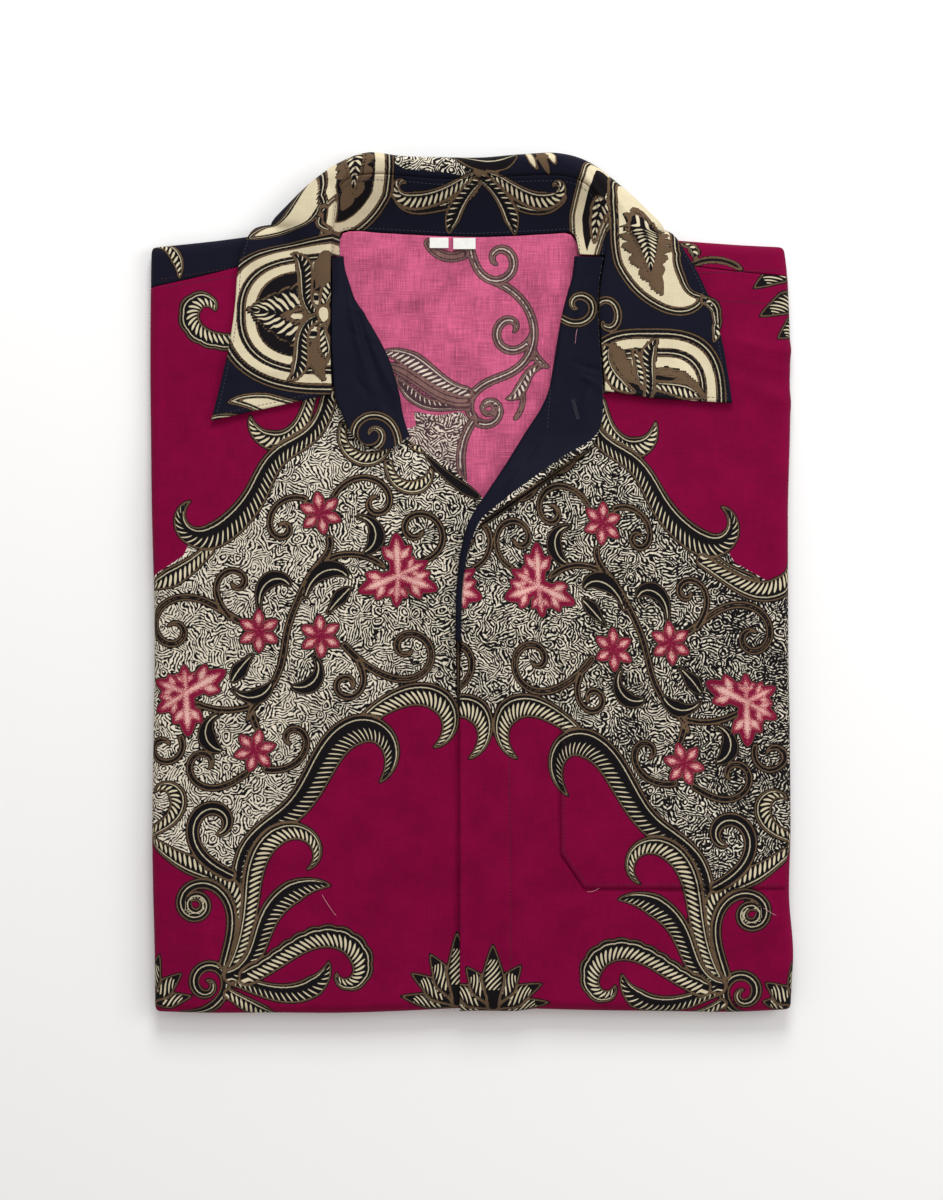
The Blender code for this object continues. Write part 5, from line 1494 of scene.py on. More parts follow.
class Tree:
    """Short calls for building a node tree."""

    def __init__(self, tree: bpy.types.NodeTree) -> None:
        """Works on this tree."""
        self.tree = tree

    def node(self, kind: str, **settings: object) -> bpy.types.Node:
        """Adds a node and sets its properties."""
        made = self.tree.nodes.new(kind)
        for name, value in settings.items():
            setattr(made, name, value)
        return made

    def put(self, value: object, socket: bpy.types.NodeSocket) -> None:
        """Links a socket, or sets a plain value, into a socket."""
        if isinstance(value, bpy.types.NodeSocket):
            self.tree.links.new(value, socket)
        elif value is not None:
            socket.default_value = value

    def math(self, operation: str, a: object, b: object = None, c: object = None,
             clamp: bool = False) -> bpy.types.NodeSocket:
        """One Math node.

        Args:
            operation: the Math node's operation.
            a: the first value or socket.
            b: the second.
            c: the third.
            clamp: whether the result is held between 0 and 1.

        Returns:
            The result's socket.
        """
        made = self.node("ShaderNodeMath", operation=operation, use_clamp=clamp)
        for socket, value in zip(made.inputs, (a, b, c)):
            self.put(value, socket)
        return made.outputs[0]

    def mix(self, share: object, a: object, b: object) -> bpy.types.NodeSocket:
        """Mixes colour a to colour b by a share."""
        made = self.node("ShaderNodeMix", data_type="RGBA")
        self.put(share, made.inputs[0])
        for value, socket in ((a, made.inputs[6]), (b, made.inputs[7])):
            self.put((*value, 1.0) if isinstance(value, tuple) and len(value) == 3 else value, socket)
        return made.outputs[2]

    def read(self, name: str) -> bpy.types.NodeSocket:
        """The number that a mesh attribute holds."""
        return self.node("ShaderNodeAttribute", attribute_name=name).outputs["Fac"]

    def noise(self, where: object, scale: float, detail: float = 2.0, rough: float = 0.5,
              warp: float = 0.0) -> bpy.types.Node:
        """A noise texture at places in mm."""
        made = self.node("ShaderNodeTexNoise", noise_dimensions="3D")
        self.put(where, made.inputs["Vector"])
        made.inputs["Scale"].default_value = scale
        made.inputs["Detail"].default_value = detail
        made.inputs["Roughness"].default_value = rough
        made.inputs["Distortion"].default_value = warp
        return made

    def stretched(self, where: object, size: Colour, turn: float = 0.0) -> bpy.types.NodeSocket:
        """Places scaled by size and turned about Z, in degrees."""
        made = self.node("ShaderNodeMapping")
        self.put(where, made.inputs["Vector"])
        made.inputs["Scale"].default_value = size
        made.inputs["Rotation"].default_value = (0.0, 0.0, math.radians(turn))
        return made.outputs[0]

    def stray(self, where: object, scale: float, detail: float = 2.0,
              rough: float = 0.5) -> bpy.types.NodeSocket:
        """A noise that wanders on both sides of 0."""
        return self.math("SUBTRACT", self.noise(where, scale, detail, rough).outputs["Fac"], 0.5)

    def place(self) -> bpy.types.NodeSocket:
        """The place in the object, in metres."""
        return self.node("ShaderNodeTexCoord").outputs["Object"]

    def parts(self, where: object) -> bpy.types.bpy_prop_collection:
        """A place's X, Y and Z."""
        made = self.node("ShaderNodeSeparateXYZ")
        self.put(where, made.inputs[0])
        return made.outputs

    def scaled(self, colour: object, share: object) -> bpy.types.NodeSocket:
        """A colour times a number."""
        made = self.node("ShaderNodeVectorMath", operation="SCALE")
        self.put(colour, made.inputs[0])
        self.put(share, made.inputs["Scale"])
        return made.outputs[0]

    def bump(self, height: object, strength: float, distance: float) -> bpy.types.NodeSocket:
        """The normal of a relief, from its height as a share of a distance in metres."""
        made = self.node("ShaderNodeBump")
        made.inputs["Strength"].default_value = strength
        made.inputs["Distance"].default_value = distance
        self.put(height, made.inputs["Height"])
        return made.outputs[0]

    def under(self, distance: object, soft: float = 0.13) -> bpy.types.NodeSocket:
        """1 where a distance is under 0 and 0 over it, with a soft edge."""
        return self.math("MULTIPLY_ADD", distance, -0.5 / soft, 0.5, clamp=True)


def new_material(name: str) -> tuple[bpy.types.Material, Tree, bpy.types.bpy_prop_collection]:
    """Starts a material: itself, its tree and its shader's inputs."""
    made = bpy.data.materials.new(name)
    made.use_nodes = True
    return made, Tree(made.node_tree), made.node_tree.nodes["Principled BSDF"].inputs


Group = tuple[bpy.types.NodeTree, Tree, bpy.types.Node, bpy.types.Node]


def new_group(name: str, inputs: Sequence[tuple[str, str, object]],
              outputs: Sequence[tuple[str, str]]) -> Group:
    """Starts a shader node group.

    Args:
        name: the group's name.
        inputs: its inputs' names, kinds and plain values.
        outputs: its outputs' names and kinds.

    Returns:
        The group, its tree, its input node and its output node.
    """
    group = bpy.data.node_groups.new(name, "ShaderNodeTree")
    for label, kind, value in inputs:
        socket = group.interface.new_socket(label, in_out="INPUT", socket_type=f"NodeSocket{kind}")
        if value is not None:
            socket.default_value = value
    for label, kind in outputs:
        group.interface.new_socket(label, in_out="OUTPUT", socket_type=f"NodeSocket{kind}")
    tree = Tree(group)
    return group, tree, tree.node("NodeGroupInput"), tree.node("NodeGroupOutput")


@dataclass(frozen=True)
class WeaveGroup:
    """Plain woven cotton: threads, slubs and uneven dye at places in mm.

    The dye varies in wide clouds and from thread to thread. Flecks lie on a slant.
    """

    name: str = "cotton_weave"
    thread: float = 0.42
    slub_length: float = 14.0
    cloud: float = 1.6
    thread_share: float = 0.55
    fine: float = 0.25
    fleck_size: Colour = (0.9, 0.16, 1.0)
    fleck_turn: float = 31.0
    fleck_from: float = 0.62
    fleck_gain: float = 6.0

    def make(self) -> bpy.types.NodeTree:
        """Makes the group: places in; height, shade and fleck out."""
        group, t, given, out = new_group(
            self.name, [("Place", "Vector", None), ("Slub", "Float", 1.0)],
            [("Height", "Float"), ("Shade", "Float"), ("Fleck", "Float")],
        )
        place, slub = given.outputs["Place"], given.outputs["Slub"]
        warp = t.noise(t.stretched(place, (1 / self.thread, 1 / self.slub_length, 1.0)), 1.0, 1.5)
        weft = t.noise(t.stretched(place, (1 / self.slub_length, 1 / self.thread, 1.0)), 1.0, 1.5)
        threads = t.math("SUBTRACT", t.math("ADD", warp.outputs["Fac"], weft.outputs["Fac"]), 1.0)
        cloudy = t.math("MULTIPLY", t.stray(place, 0.045, 4.0, 0.65), self.cloud)
        shade = t.math("MULTIPLY_ADD", t.math("MULTIPLY", threads, slub), self.thread_share, cloudy)
        shade = t.math("MULTIPLY_ADD", t.stray(place, 0.5, 2.0, 0.6), self.fine, shade)
        t.put(threads, out.inputs["Height"])
        t.put(shade, out.inputs["Shade"])
        flecks = t.noise(t.stretched(place, self.fleck_size, self.fleck_turn), 1.0, 3.0)
        fleck = t.math("SUBTRACT", flecks.outputs["Fac"], self.fleck_from)
        t.put(t.math("MULTIPLY", fleck, self.fleck_gain, clamp=True), out.inputs["Fleck"])
        return group


@dataclass(frozen=True)
class WormGroup:
    """The filled ground: patches of short broken wax strokes that lie along each other.

    Strokes run straight in most patches and in rings in the rest. They break up, wear
    in wide areas and in spots, and thin out slowly across the cloth.
    """

    name: str = "worm_ground"
    patch: float = 6.0
    every: float = 1.62
    warp: float = 3.2
    thinner: float = 0.0022
    ringed_from: float = 0.72
    broken: float = 4.0
    worn: float = 1.6
    spots_from: float = 0.6
    spots_gain: float = 9.0
    spots_worn: float = 1.4
    edge_gain: float = 1.8
    edge_from: float = -0.12

    def make(self) -> bpy.types.NodeTree:
        """Makes the group: places in; the wax's share out."""
        group, t, given, out = new_group(self.name, [("Place", "Vector", None)], [("Wax", "Float")])
        place = given.outputs["Place"]
        bend = t.noise(place, 0.13, 1.0, 0.5)
        shift = t.node("ShaderNodeVectorMath", operation="MULTIPLY_ADD")
        t.put(bend.outputs["Color"], shift.inputs[0])
        shift.inputs[1].default_value = (2 * self.warp, 2 * self.warp, 0.0)
        t.put(place, shift.inputs[2])
        moved = shift.outputs[0]
        cells = t.node("ShaderNodeTexVoronoi", voronoi_dimensions="2D", feature="F1")
        t.put(moved, cells.inputs["Vector"])
        cells.inputs["Scale"].default_value = 1 / self.patch
        chance = t.node("ShaderNodeSeparateColor")
        t.put(cells.outputs["Color"], chance.inputs[0])
        spin = t.node("ShaderNodeVectorRotate", rotation_type="Z_AXIS")
        t.put(moved, spin.inputs["Vector"])
        t.put(t.math("MULTIPLY", chance.outputs[0], math.pi), spin.inputs["Angle"])
        turned = t.parts(spin.outputs[0])
        ringed = t.math("GREATER_THAN", chance.outputs[1], self.ringed_from)
        ring_at = t.math("MULTIPLY", cells.outputs["Distance"], self.patch)
        straight = t.math("MULTIPLY", turned[0], t.math("SUBTRACT", 1.0, ringed))
        run = t.math("MULTIPLY_ADD", ring_at, ringed, straight)
        level = t.math("SINE", t.math("MULTIPLY", run, 2 * math.pi / self.every))
        level = t.math("MULTIPLY_ADD", t.stray(place, 0.55, 1.0, 0.5), self.broken, level)
        level = t.math("MULTIPLY_ADD", t.stray(place, 0.05, 2.0), self.worn, level)
        spots = t.math("SUBTRACT", t.noise(place, 0.3, 2.0).outputs["Fac"], self.spots_from)
        spots = t.math("MULTIPLY", spots, self.spots_gain, clamp=True)
        level = t.math("MULTIPLY_ADD", spots, -self.spots_worn, level)
        level = t.math("MULTIPLY_ADD", t.parts(place)[0], -self.thinner, level)
        t.put(t.math("MULTIPLY_ADD", level, self.edge_gain, self.edge_from, clamp=True), out.inputs["Wax"])
        return group


@dataclass(frozen=True)
class InkGroup:
    """Turns the print's distances into inks.

    Lengths are in mm. Every edge wobbles a little. A petal channel over `petal_from`
    fills with petal ink and one over `fine_from` has a finer outline. Light lines stop
    `line_depth` inside the outline, and hearts are stippled, pale in the middle.
    """

    name: str = "wax_inks"
    outline: float = 0.72
    halo: float = 0.7
    line: float = 0.3
    wobble: float = 0.55
    petal_from: float = 0.75
    fine_from: float = 0.25
    finer: float = 0.4
    line_depth: float = 0.35
    line_share: float = 0.8
    rib_soft: float = 0.05
    stipple: float = 5.6
    heart_gain: float = 1.1
    pale_gain: float = 0.9
    pale_depth: float = 0.75
    pale_share: float = 0.75

    def make(self, worms: bpy.types.NodeTree) -> bpy.types.NodeTree:
        """Makes the group.

        Args:
            worms: the worm ground's group.

        Returns:
            The group: places and inks in, a colour out.
        """
        inks = Inks.labels()
        group, t, given, out = new_group(
            self.name, [("Place", "Vector", None)] + [(ink, "Color", None) for ink in inks],
            [("Colour", "Color")],
        )
        ink = {name: given.outputs[name] for name in inks}
        place = given.outputs["Place"]
        wobble = t.math("MULTIPLY", t.stray(place, 0.7, 1.0), self.wobble)
        edge = t.math("ADD", t.read("print_edge"), wobble)
        worm = t.node("ShaderNodeGroup", node_tree=worms)
        t.put(place, worm.inputs["Place"])
        ground = t.mix(worm.outputs["Wax"], ink["Black"], ink["Wax"])
        colour = t.mix(t.under(t.read("print_worm")), ink["Ground"], ground)
        colour = t.mix(t.under(t.math("SUBTRACT", edge, self.halo)), colour, ink["Black"])
        petal = t.under(t.math("SUBTRACT", self.petal_from, t.read("print_petal")))
        fine = t.under(t.math("SUBTRACT", self.fine_from, t.read("print_petal")))
        body = t.mix(petal, ink["Black"], ink["Petal"])
        colour = t.mix(t.under(edge), colour, body)
        colour = t.mix(t.under(t.math("ADD", t.read("print_brown"), wobble)), colour, ink["Brown"])
        colour = t.mix(t.under(t.math("ADD", t.read("print_cream"), wobble)), colour, ink["Cream"])
        thin = t.math("MULTIPLY_ADD", fine, -self.finer, self.outline)
        middle = t.math("ABSOLUTE", t.math("MULTIPLY_ADD", thin, 0.5, edge))
        band = t.math("SUBTRACT", middle, t.math("MULTIPLY", thin, 0.5))
        colour = t.mix(t.under(band), colour, ink["Brown"])
        deep = t.under(t.math("ADD", edge, self.outline + self.line_depth))
        off_line = t.math("ABSOLUTE", t.math("ADD", t.read("print_line"), wobble))
        stroke = t.math("MULTIPLY", t.under(t.math("SUBTRACT", off_line, self.line)), deep)
        colour = t.mix(t.math("MULTIPLY", stroke, self.line_share), colour, ink["Cream"])
        off_rib = t.math("ABSOLUTE", t.math("SUBTRACT", t.math("FRACT", t.read("print_phase")), 0.5))
        ribs = t.under(t.math("SUBTRACT", off_rib, t.read("print_room")), self.rib_soft)
        inner = t.under(t.math("ADD", edge, self.outline))
        colour = t.mix(t.math("MULTIPLY", ribs, inner), colour, ink["Cream"])
        heart = t.math("MULTIPLY_ADD", t.stray(place, 1.5, 1.5), self.stipple, t.read("print_heart"))
        colour = t.mix(t.math("MULTIPLY", heart, -self.heart_gain, clamp=True), colour, ink["Heart"])
        pale = t.math("MULTIPLY_ADD", heart, -self.pale_gain, -self.pale_depth, clamp=True)
        colour = t.mix(t.math("MULTIPLY", pale, self.pale_share), colour, ink["Pale"])
        t.put(colour, out.inputs["Colour"])
        return group


@dataclass(frozen=True)
class Inks:
    """The colours of one face of the cloth."""

    ground: Colour = (0.16, 0.0006, 0.03)
    black: Colour = (0.006, 0.005, 0.006)
    brown: Colour = (0.105, 0.066, 0.038)
    cream: Colour = (0.56, 0.49, 0.335)
    petal: Colour = (0.165, 0.006, 0.03)
    heart: Colour = (0.43, 0.12, 0.13)
    pale: Colour = (0.68, 0.46, 0.40)
    wax: Colour = (0.63, 0.57, 0.46)

    @classmethod
    def labels(cls) -> tuple[str, ...]:
        """The inks' names as the shader group's sockets have them."""
        return tuple(field.name.capitalize() for field in dataclasses.fields(cls))


NAVY = (0.006, 0.0065, 0.014)
WRONG_SIDE = Inks(ground=(0.43, 0.08, 0.165), black=(0.06, 0.03, 0.036), brown=(0.17, 0.09, 0.08),
                  cream=(0.58, 0.5, 0.42), petal=(0.3, 0.03, 0.08), wax=(0.58, 0.5, 0.42))


@dataclass(frozen=True)
class PrintFinish:
    """Printed cotton: the inks over a ground, the weave and the dye's unevenness."""

    name: str
    inks: Inks
    weave: bpy.types.NodeTree
    ink_group: bpy.types.NodeTree
    unevenness: float = 0.3
    slub: float = 1.0
    roughness: float = 0.78
    sheen: float = 0.02
    fleck: float = 0.0
    bump: float = 0.25
    specular: float = 0.04
    thread_roughness: float = 0.12
    relief: float = 0.0002
    sheen_roughness: float = 0.5

    def make(self) -> bpy.types.Material:
        """Makes the material."""
        made, t, shader = new_material(self.name)
        place = t.node("ShaderNodeAttribute", attribute_name="cloth_place").outputs["Vector"]
        inks = t.node("ShaderNodeGroup", node_tree=self.ink_group)
        t.put(place, inks.inputs["Place"])
        for label in Inks.labels():
            inks.inputs[label].default_value = (*getattr(self.inks, label.lower()), 1.0)
        weave = t.node("ShaderNodeGroup", node_tree=self.weave)
        t.put(place, weave.inputs["Place"])
        weave.inputs["Slub"].default_value = self.slub
        height = weave.outputs["Height"]
        bright = t.math("MULTIPLY_ADD", weave.outputs["Shade"], self.unevenness, 1.0)
        worn = t.math("MULTIPLY_ADD", weave.outputs["Fleck"], self.fleck, bright)
        t.put(t.scaled(inks.outputs["Colour"], worn), shader["Base Color"])
        t.put(t.math("MULTIPLY_ADD", height, self.thread_roughness, self.roughness), shader["Roughness"])
        t.put(t.bump(height, self.bump, self.relief), shader["Normal"])
        shader["Sheen Weight"].default_value = self.sheen
        shader["Sheen Roughness"].default_value = self.sheen_roughness
        shader["Specular IOR Level"].default_value = self.specular
        return made


@dataclass(frozen=True)
class PlainFinish:
    """One even colour, for the floor and for small plain pieces."""

    name: str
    colour: Colour
    roughness: float = 0.8

    def make(self) -> bpy.types.Material:
        """Makes the material."""
        made, _, shader = new_material(self.name)
        shader["Base Color"].default_value = (*self.colour, 1.0)
        shader["Roughness"].default_value = self.roughness
        return made


@dataclass(frozen=True)
class ThreadFinish:
    """Sewing thread, its twist seen as fine slanted lines."""

    name: str
    colour: Colour
    roughness: float = 0.62
    twists: float = 1400.0
    dark: float = 0.8
    contrast: float = 0.35

    def make(self) -> bpy.types.Material:
        """Makes the material."""
        made, t, shader = new_material(self.name)
        twist = t.node("ShaderNodeTexWave", bands_direction="DIAGONAL")
        t.put(t.place(), twist.inputs["Vector"])
        twist.inputs["Scale"].default_value = self.twists
        shade = t.math("MULTIPLY_ADD", twist.outputs["Fac"], self.contrast, self.dark)
        t.put(t.scaled(self.colour, shade), shader["Base Color"])
        shader["Roughness"].default_value = self.roughness
        return made


@dataclass(frozen=True)
class LayerFinish:
    """The folded cloth inside the stack, seen at its edges as thin layers, with painted shade in the gaps between
    them.
    """

    name: str = "folded_layers_cloth"
    cloth: Colour = (0.16, 0.002, 0.03)
    # painted shade: the dark colour of the gaps between the layers
    gap: Colour = (0.03, 0.002, 0.008)
    layer: float = 0.0021
    sag: float = 0.003
    gap_shade_gain: float = 9.0
    gap_shade_from: float = -3.6
    relief: float = 0.0006
    roughness: float = 0.85
    specular: float = 0.1

    def make(self) -> bpy.types.Material:
        """Makes the material."""
        made, t, shader = new_material(self.name)
        place = t.place()
        sag = t.noise(t.stretched(place, (14.0, 14.0, 30.0)), 1.0, 2.0)
        height = t.math("MULTIPLY_ADD", sag.outputs["Fac"], self.sag, t.parts(place)["Z"])
        run = t.math("FRACT", t.math("DIVIDE", height, self.layer))
        dip = t.math("ABSOLUTE", t.math("SUBTRACT", run, 0.5))
        # painted shade: darker where the layers meet
        between = t.math("MULTIPLY_ADD", dip, self.gap_shade_gain, self.gap_shade_from, clamp=True)
        weave = t.noise(t.stretched(place, (2200.0, 2200.0, 900.0)), 1.0, 2.0)
        worn = t.math("MULTIPLY_ADD", weave.outputs["Fac"], 0.5, 0.75)
        t.put(t.mix(between, t.scaled(self.cloth, worn), self.gap), shader["Base Color"])
        t.put(t.bump(t.math("SUBTRACT", 1.0, between), 0.5, self.relief), shader["Normal"])
        shader["Roughness"].default_value = self.roughness
        shader["Specular IOR Level"].default_value = self.specular
        return made


@dataclass(frozen=True)
class TapeFinish:
    """Blank woven label tape: fine ribs across a pale ribbon."""

    name: str = "blank_label_tape"
    thread: Colour = (0.78, 0.77, 0.74)
    shadow: Colour = (0.5, 0.49, 0.47)
    rib: float = 0.00042
    soil: float = 0.6
    relief: float = 0.0001
    roughness: float = 0.6

    def make(self) -> bpy.types.Material:
        """Makes the material."""
        made, t, shader = new_material(self.name)
        place = t.place()
        parts = t.parts(place)
        ribs = t.math("SINE", t.math("MULTIPLY", parts["Y"], 2 * math.pi / self.rib))
        floats = t.math("SINE", t.math("MULTIPLY", parts["X"], math.pi / self.rib))
        weave = t.math("MULTIPLY", ribs, floats)
        level = t.math("MULTIPLY_ADD", weave, 0.25, 0.3, clamp=True)
        share = t.math("MULTIPLY_ADD", t.stray(place, 260.0, 2.0), self.soil, level, clamp=True)
        t.put(t.mix(share, self.thread, self.shadow), shader["Base Color"])
        t.put(t.bump(weave, 0.3, self.relief), shader["Normal"])
        shader["Roughness"].default_value = self.roughness
        return made


def dress_shown_nodes(frame: dict) -> None:
    """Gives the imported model's own shown parts their finishes.

    Args:
        frame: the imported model.
    """
    layers, tape = LayerFinish().make(), TapeFinish().make()
    for node, finish in (("folded_layers", layers), ("label_size", tape), ("label_fibre", tape)):
        shown = frame["nodes"][node]
        for part in shown if isinstance(shown, list) else [shown]:
            for slot in part.material_slots:
                slot.material = finish


# --- The cut pieces ----------------------------------------------------------------

WAY_DEPTH = 0.4  # how deep the second point lies that gives a face's outward direction, in mm


def lapel_curve(rows: Sequence[LapelRow], spans: int) -> tuple[Grid, Grid, Grid, Grid]:
    """Draws a lapel out smoothly.

    Args:
        rows: its table.
        spans: how many steps stand between two rows.

    Returns:
        Its bend, its outward direction, its edge and its rise.
    """
    places = np.linspace(0.0, len(rows) - 1.0, (len(rows) - 1) * spans + 1)
    bend = np.stack([smooth_run(column(rows, name), places) for name in ("bend_x", "bend_y")], -1)
    edge = np.stack([smooth_run(column(rows, name), places) for name in ("edge_x", "edge_y")], -1)
    rise = smooth_run(column(rows, "rise"), places)
    run = np.gradient(bend, axis=0)
    out = unit(np.stack([run[:, 1], -run[:, 0]], -1))
    out *= np.sign((out * (edge - bend)).sum(1))[:, None]
    return bend, out, edge, rise


@dataclass
class Fronts:
    """The two fronts, folded round the sides and the bottom, the left one on top."""

    finish: bpy.types.Material
    spacing: float = 1.1
    turn_steps: int = 12
    thickness: float = 0.8
    band_edge: float = -6.4
    band_stitches: float = 22.6
    band_rise: float = 1.75
    facing_rise: float = 2.2
    behind_bend: float = 3.6
    stand_room: float = 3.2
    yoke_right: tuple[float, float] = (171.6, 0.158)
    yoke_left: tuple[float, float] = (178.2, -0.056)
    seam_gap: float = 0.5
    before_seam: float = 75.0
    band_ends: tuple[float, float] = (-80.0, -33.0)
    band_turn: float = 0.8
    stand_ends: tuple[float, float] = (170.0, 179.0)
    opening: float = 80.0
    facing_ends: tuple[float, float] = (-90.0, -38.0)
    rise_ends: tuple[float, float] = (50.0, 88.0)
    past_stitches: float = 0.5
    past_edge: float = 12.0
    rise_slope: float = 15.0

    def _behind(self, rows: Sequence[LapelRow], along: Grid) -> Grid:
        """Where a front's edge lies inside its lapel's bend."""
        bend, out, _, _ = lapel_curve(rows, 2)
        edge_x, edge_y = STACK.unsettle(*(bend + out * self.behind_bend).T)
        order = np.argsort(edge_y)
        return np.interp(along, edge_y[order], edge_x[order])

    def left_edge(self, along: Grid) -> Grid:
        """The left front's edge: at the fly band, then inside its lapel's bend."""
        turned = self._behind(LEFT_LAPEL, along)
        straight = self.band_edge + self.band_turn * fade(*self.band_ends, along)
        return np.where(np.asarray(along) < LEFT_LAPEL[0].bend_y, straight, turned)

    def right_edge(self, along: Grid) -> Grid:
        """The right front's edge: under the fly band, at the opening, inside the bend."""
        turned = self._behind(RIGHT_LAPEL, along) - self.stand_room * fade(*self.stand_ends, along)
        free = np.interp(along, column(RIGHT_EDGE_ROWS, "along"), column(RIGHT_EDGE_ROWS, "across"))
        return np.where(np.asarray(along) < self.opening, free, turned)

    def left_rise(self, across: Grid, along: Grid) -> Grid:
        """How far the left front stands over the stack, on the underlap and facing."""
        over = self.band_rise + self.facing_rise * fade(*self.facing_ends, along)
        start = np.maximum(self.band_stitches + self.past_stitches, self.left_edge(along) + self.past_edge)
        share = np.clip((across - start) / self.rise_slope, 0.0, 1.0)
        return over * (1 - share * share * (3 - 2 * share)) * (1 - fade(*self.rise_ends, along))

    def yoke_seam(self, across: Grid) -> Grid:
        """Height of the yoke's front seams."""
        right = self.yoke_right[0] + self.yoke_right[1] * (across + STACK.half_width)
        left = self.yoke_left[0] + self.yoke_left[1] * (across - STACK.half_width)
        return np.where(np.asarray(across) < 0.0, right, left)

    def grid(self, side: float, edge_of: Callable[[Grid], Grid]) -> tuple[Grid, Grid]:
        """Lays out a front's places.

        Args:
            side: -1 for the wearer's right front, 1 for the left.
            edge_of: gives its edge at a height.

        Returns:
            Places across and along, rows up and columns out.
        """
        turns = STACK.fold_cloth * np.linspace(0.0, 2.0, self.turn_steps * 2 + 1)
        below = STACK.bottom + STACK.fold_reach - turns[:0:-1]
        last = (self.yoke_right if side < 0 else self.yoke_left)[0] - self.seam_gap / 2
        marks = marks_between([STACK.bottom + STACK.fold_reach, last], self.spacing)
        side_turn = side * (STACK.half_width - STACK.fold_reach + turns)
        seam_side = self.yoke_seam(side * STACK.half_width)
        heights = np.concatenate([below, marks])
        lean = fade(marks[-1] - self.before_seam, marks[-1], heights)
        edge = edge_of(heights)
        for _ in range(5):
            edge = edge_of(heights + lean * (self.yoke_seam(edge) - seam_side))
        widest = float(np.max(abs(side_turn[0] - edge)))
        shares = np.linspace(0.0, 1.0, int(widest / self.spacing) + 1)[:-1]
        flat = edge[:, None] + (side_turn[0] - edge)[:, None] * shares
        across = np.column_stack([flat, np.broadcast_to(side_turn, (len(heights), len(side_turn)))])
        held = np.clip(across, -STACK.half_width, STACK.half_width)
        along = heights[:, None] + lean[:, None] * (self.yoke_seam(held) - seam_side)
        return across, along

    def _make(self, name: str, side: float, edge_of: Callable[[Grid], Grid]) -> Cloth:
        """Lays one front on the stack; the left one, side 1, lies over the right one."""
        across, along = self.grid(side, edge_of)
        on_top = side > 0
        depth = -self.left_rise(across, along) if on_top else np.zeros_like(across)
        face = STACK.lie(across, along, depth, depth)
        inner = STACK.lie(across, along, depth + WAY_DEPTH, depth)
        place = np.stack(STACK.seen_place(across, along), -1)
        drawn = (paint_left if on_top else paint_right)(place[..., 0], place[..., 1])
        cloth = Cloth(name, face, self.thickness, place, unit(face - inner), channels=drawn)
        creases = FRONT_CREASES + (BAND_CREASES if on_top else UNDERLAP_CREASES)
        return cloth.pressed(creases, place[..., 0], place[..., 1])

    def build(self) -> list[bpy.types.Object]:
        """Makes both fronts."""
        right = self._make("front_right_cloth", -1.0, self.right_edge)
        left = self._make("front_left_cloth", 1.0, self.left_edge)
        made = []
        for cloth, node, size, area in (
            (right, "front_right", (0.222, 0.458), 0.0845), (left, "front_left", (0.212, 0.458), 0.081),
        ):
            piece = cloth.make(self.finish)
            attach(piece, ROOT)
            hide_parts(node)
            made.append(piece)
        return made


@dataclass
class Yoke:
    """The strips over the shoulders, joined behind the neck."""

    finish: bpy.types.Material
    fronts: Fronts
    spacing: float = 1.5
    thickness: float = 0.8
    neck_right: float = -80.9
    neck_left: float = 64.8
    neck_step: float = 1.6
    neck_margin: float = 1.0
    neck_turn: float = 1.15
    seam_end: float = 184.0
    row_count: int = 30
    flat_rows: int = 12

    def build(self) -> list[bpy.types.Object]:
        """Makes the yoke."""
        flat = STACK.half_width - STACK.fold_reach
        turned = STACK.fold_cloth * np.linspace(0.0, 2.0, 13)[1:]
        across = np.concatenate([
            -flat - turned[::-1],
            marks_between([-flat, self.neck_right, self.neck_right + self.neck_step,
                           self.neck_left - self.neck_step, self.neck_left, flat], self.spacing),
            flat + turned,
        ])
        last = STACK.shoulder - STACK.fold_reach
        steps = np.linspace(0.0, 1.0, self.row_count)
        face = []
        for place in across:
            held = np.clip(place, -self.seam_end, self.seam_end)
            first = float(self.fronts.yoke_seam(held)) + self.fronts.seam_gap / 2
            if self.neck_right + self.neck_margin < place < self.neck_left - self.neck_margin:
                turns = STACK.fold_cloth * (self.neck_turn + (2.0 - self.neck_turn) * steps)
                rows = last + turns
            else:
                rows = np.concatenate([
                    np.linspace(first, last, self.flat_rows, endpoint=False),
                    last + STACK.fold_cloth * np.linspace(0.0, 2.0, len(steps) - self.flat_rows),
                ])
            face.append(np.stack([np.full_like(rows, place), rows], -1))
        across_grid, along = np.moveaxis(np.array(face), -1, 0)
        outer = STACK.lie(across_grid, along, 0.0)
        ways = unit(outer - STACK.lie(across_grid, along, WAY_DEPTH))
        place = np.stack(STACK.seen_place(across_grid, along), -1)
        drawn = paint_yoke(place[..., 0], place[..., 1])
        piece = Cloth("yoke_cloth", outer, self.thickness, place, ways, 2, drawn).make(self.finish)
        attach(piece, ROOT)
        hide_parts("yoke")
        return [piece]


@dataclass
class Back:
    """The back's inside, seen in the neck."""

    finish: bpy.types.Material
    depth: float = 3.7
    thickness: float = 0.7
    low: float = 16.0
    length: float = 185.0
    spacing: float = 1.1
    between: int = 10

    def build(self) -> list[bpy.types.Object]:
        """Makes the part of the back that shows or lies under the fronts."""
        places = marks_between(np.arange(len(BACK_ROWS), dtype=float).tolist(), 1.0 / self.between)
        across = np.interp(places, np.arange(len(BACK_ROWS)), column(BACK_ROWS, "across"))
        top = np.interp(places, np.arange(len(BACK_ROWS)), column(BACK_ROWS, "along"))
        shares = np.linspace(0.0, 1.0, int(self.length / self.spacing))[:, None]
        along = self.low + (top - self.low) * shares
        grid = np.broadcast_to(across, along.shape)
        face = STACK.level(grid, along, self.depth)
        place = np.stack([grid, along], -1)
        drawn = paint(grid, along, BACK_LAYERS)
        cloth = Cloth("back_cloth", face, self.thickness, place, channels=drawn)
        piece = cloth.pressed(BACK_CREASES, grid, along).make(self.finish)
        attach(piece, ROOT)
        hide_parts("back_panel")
        return [piece]


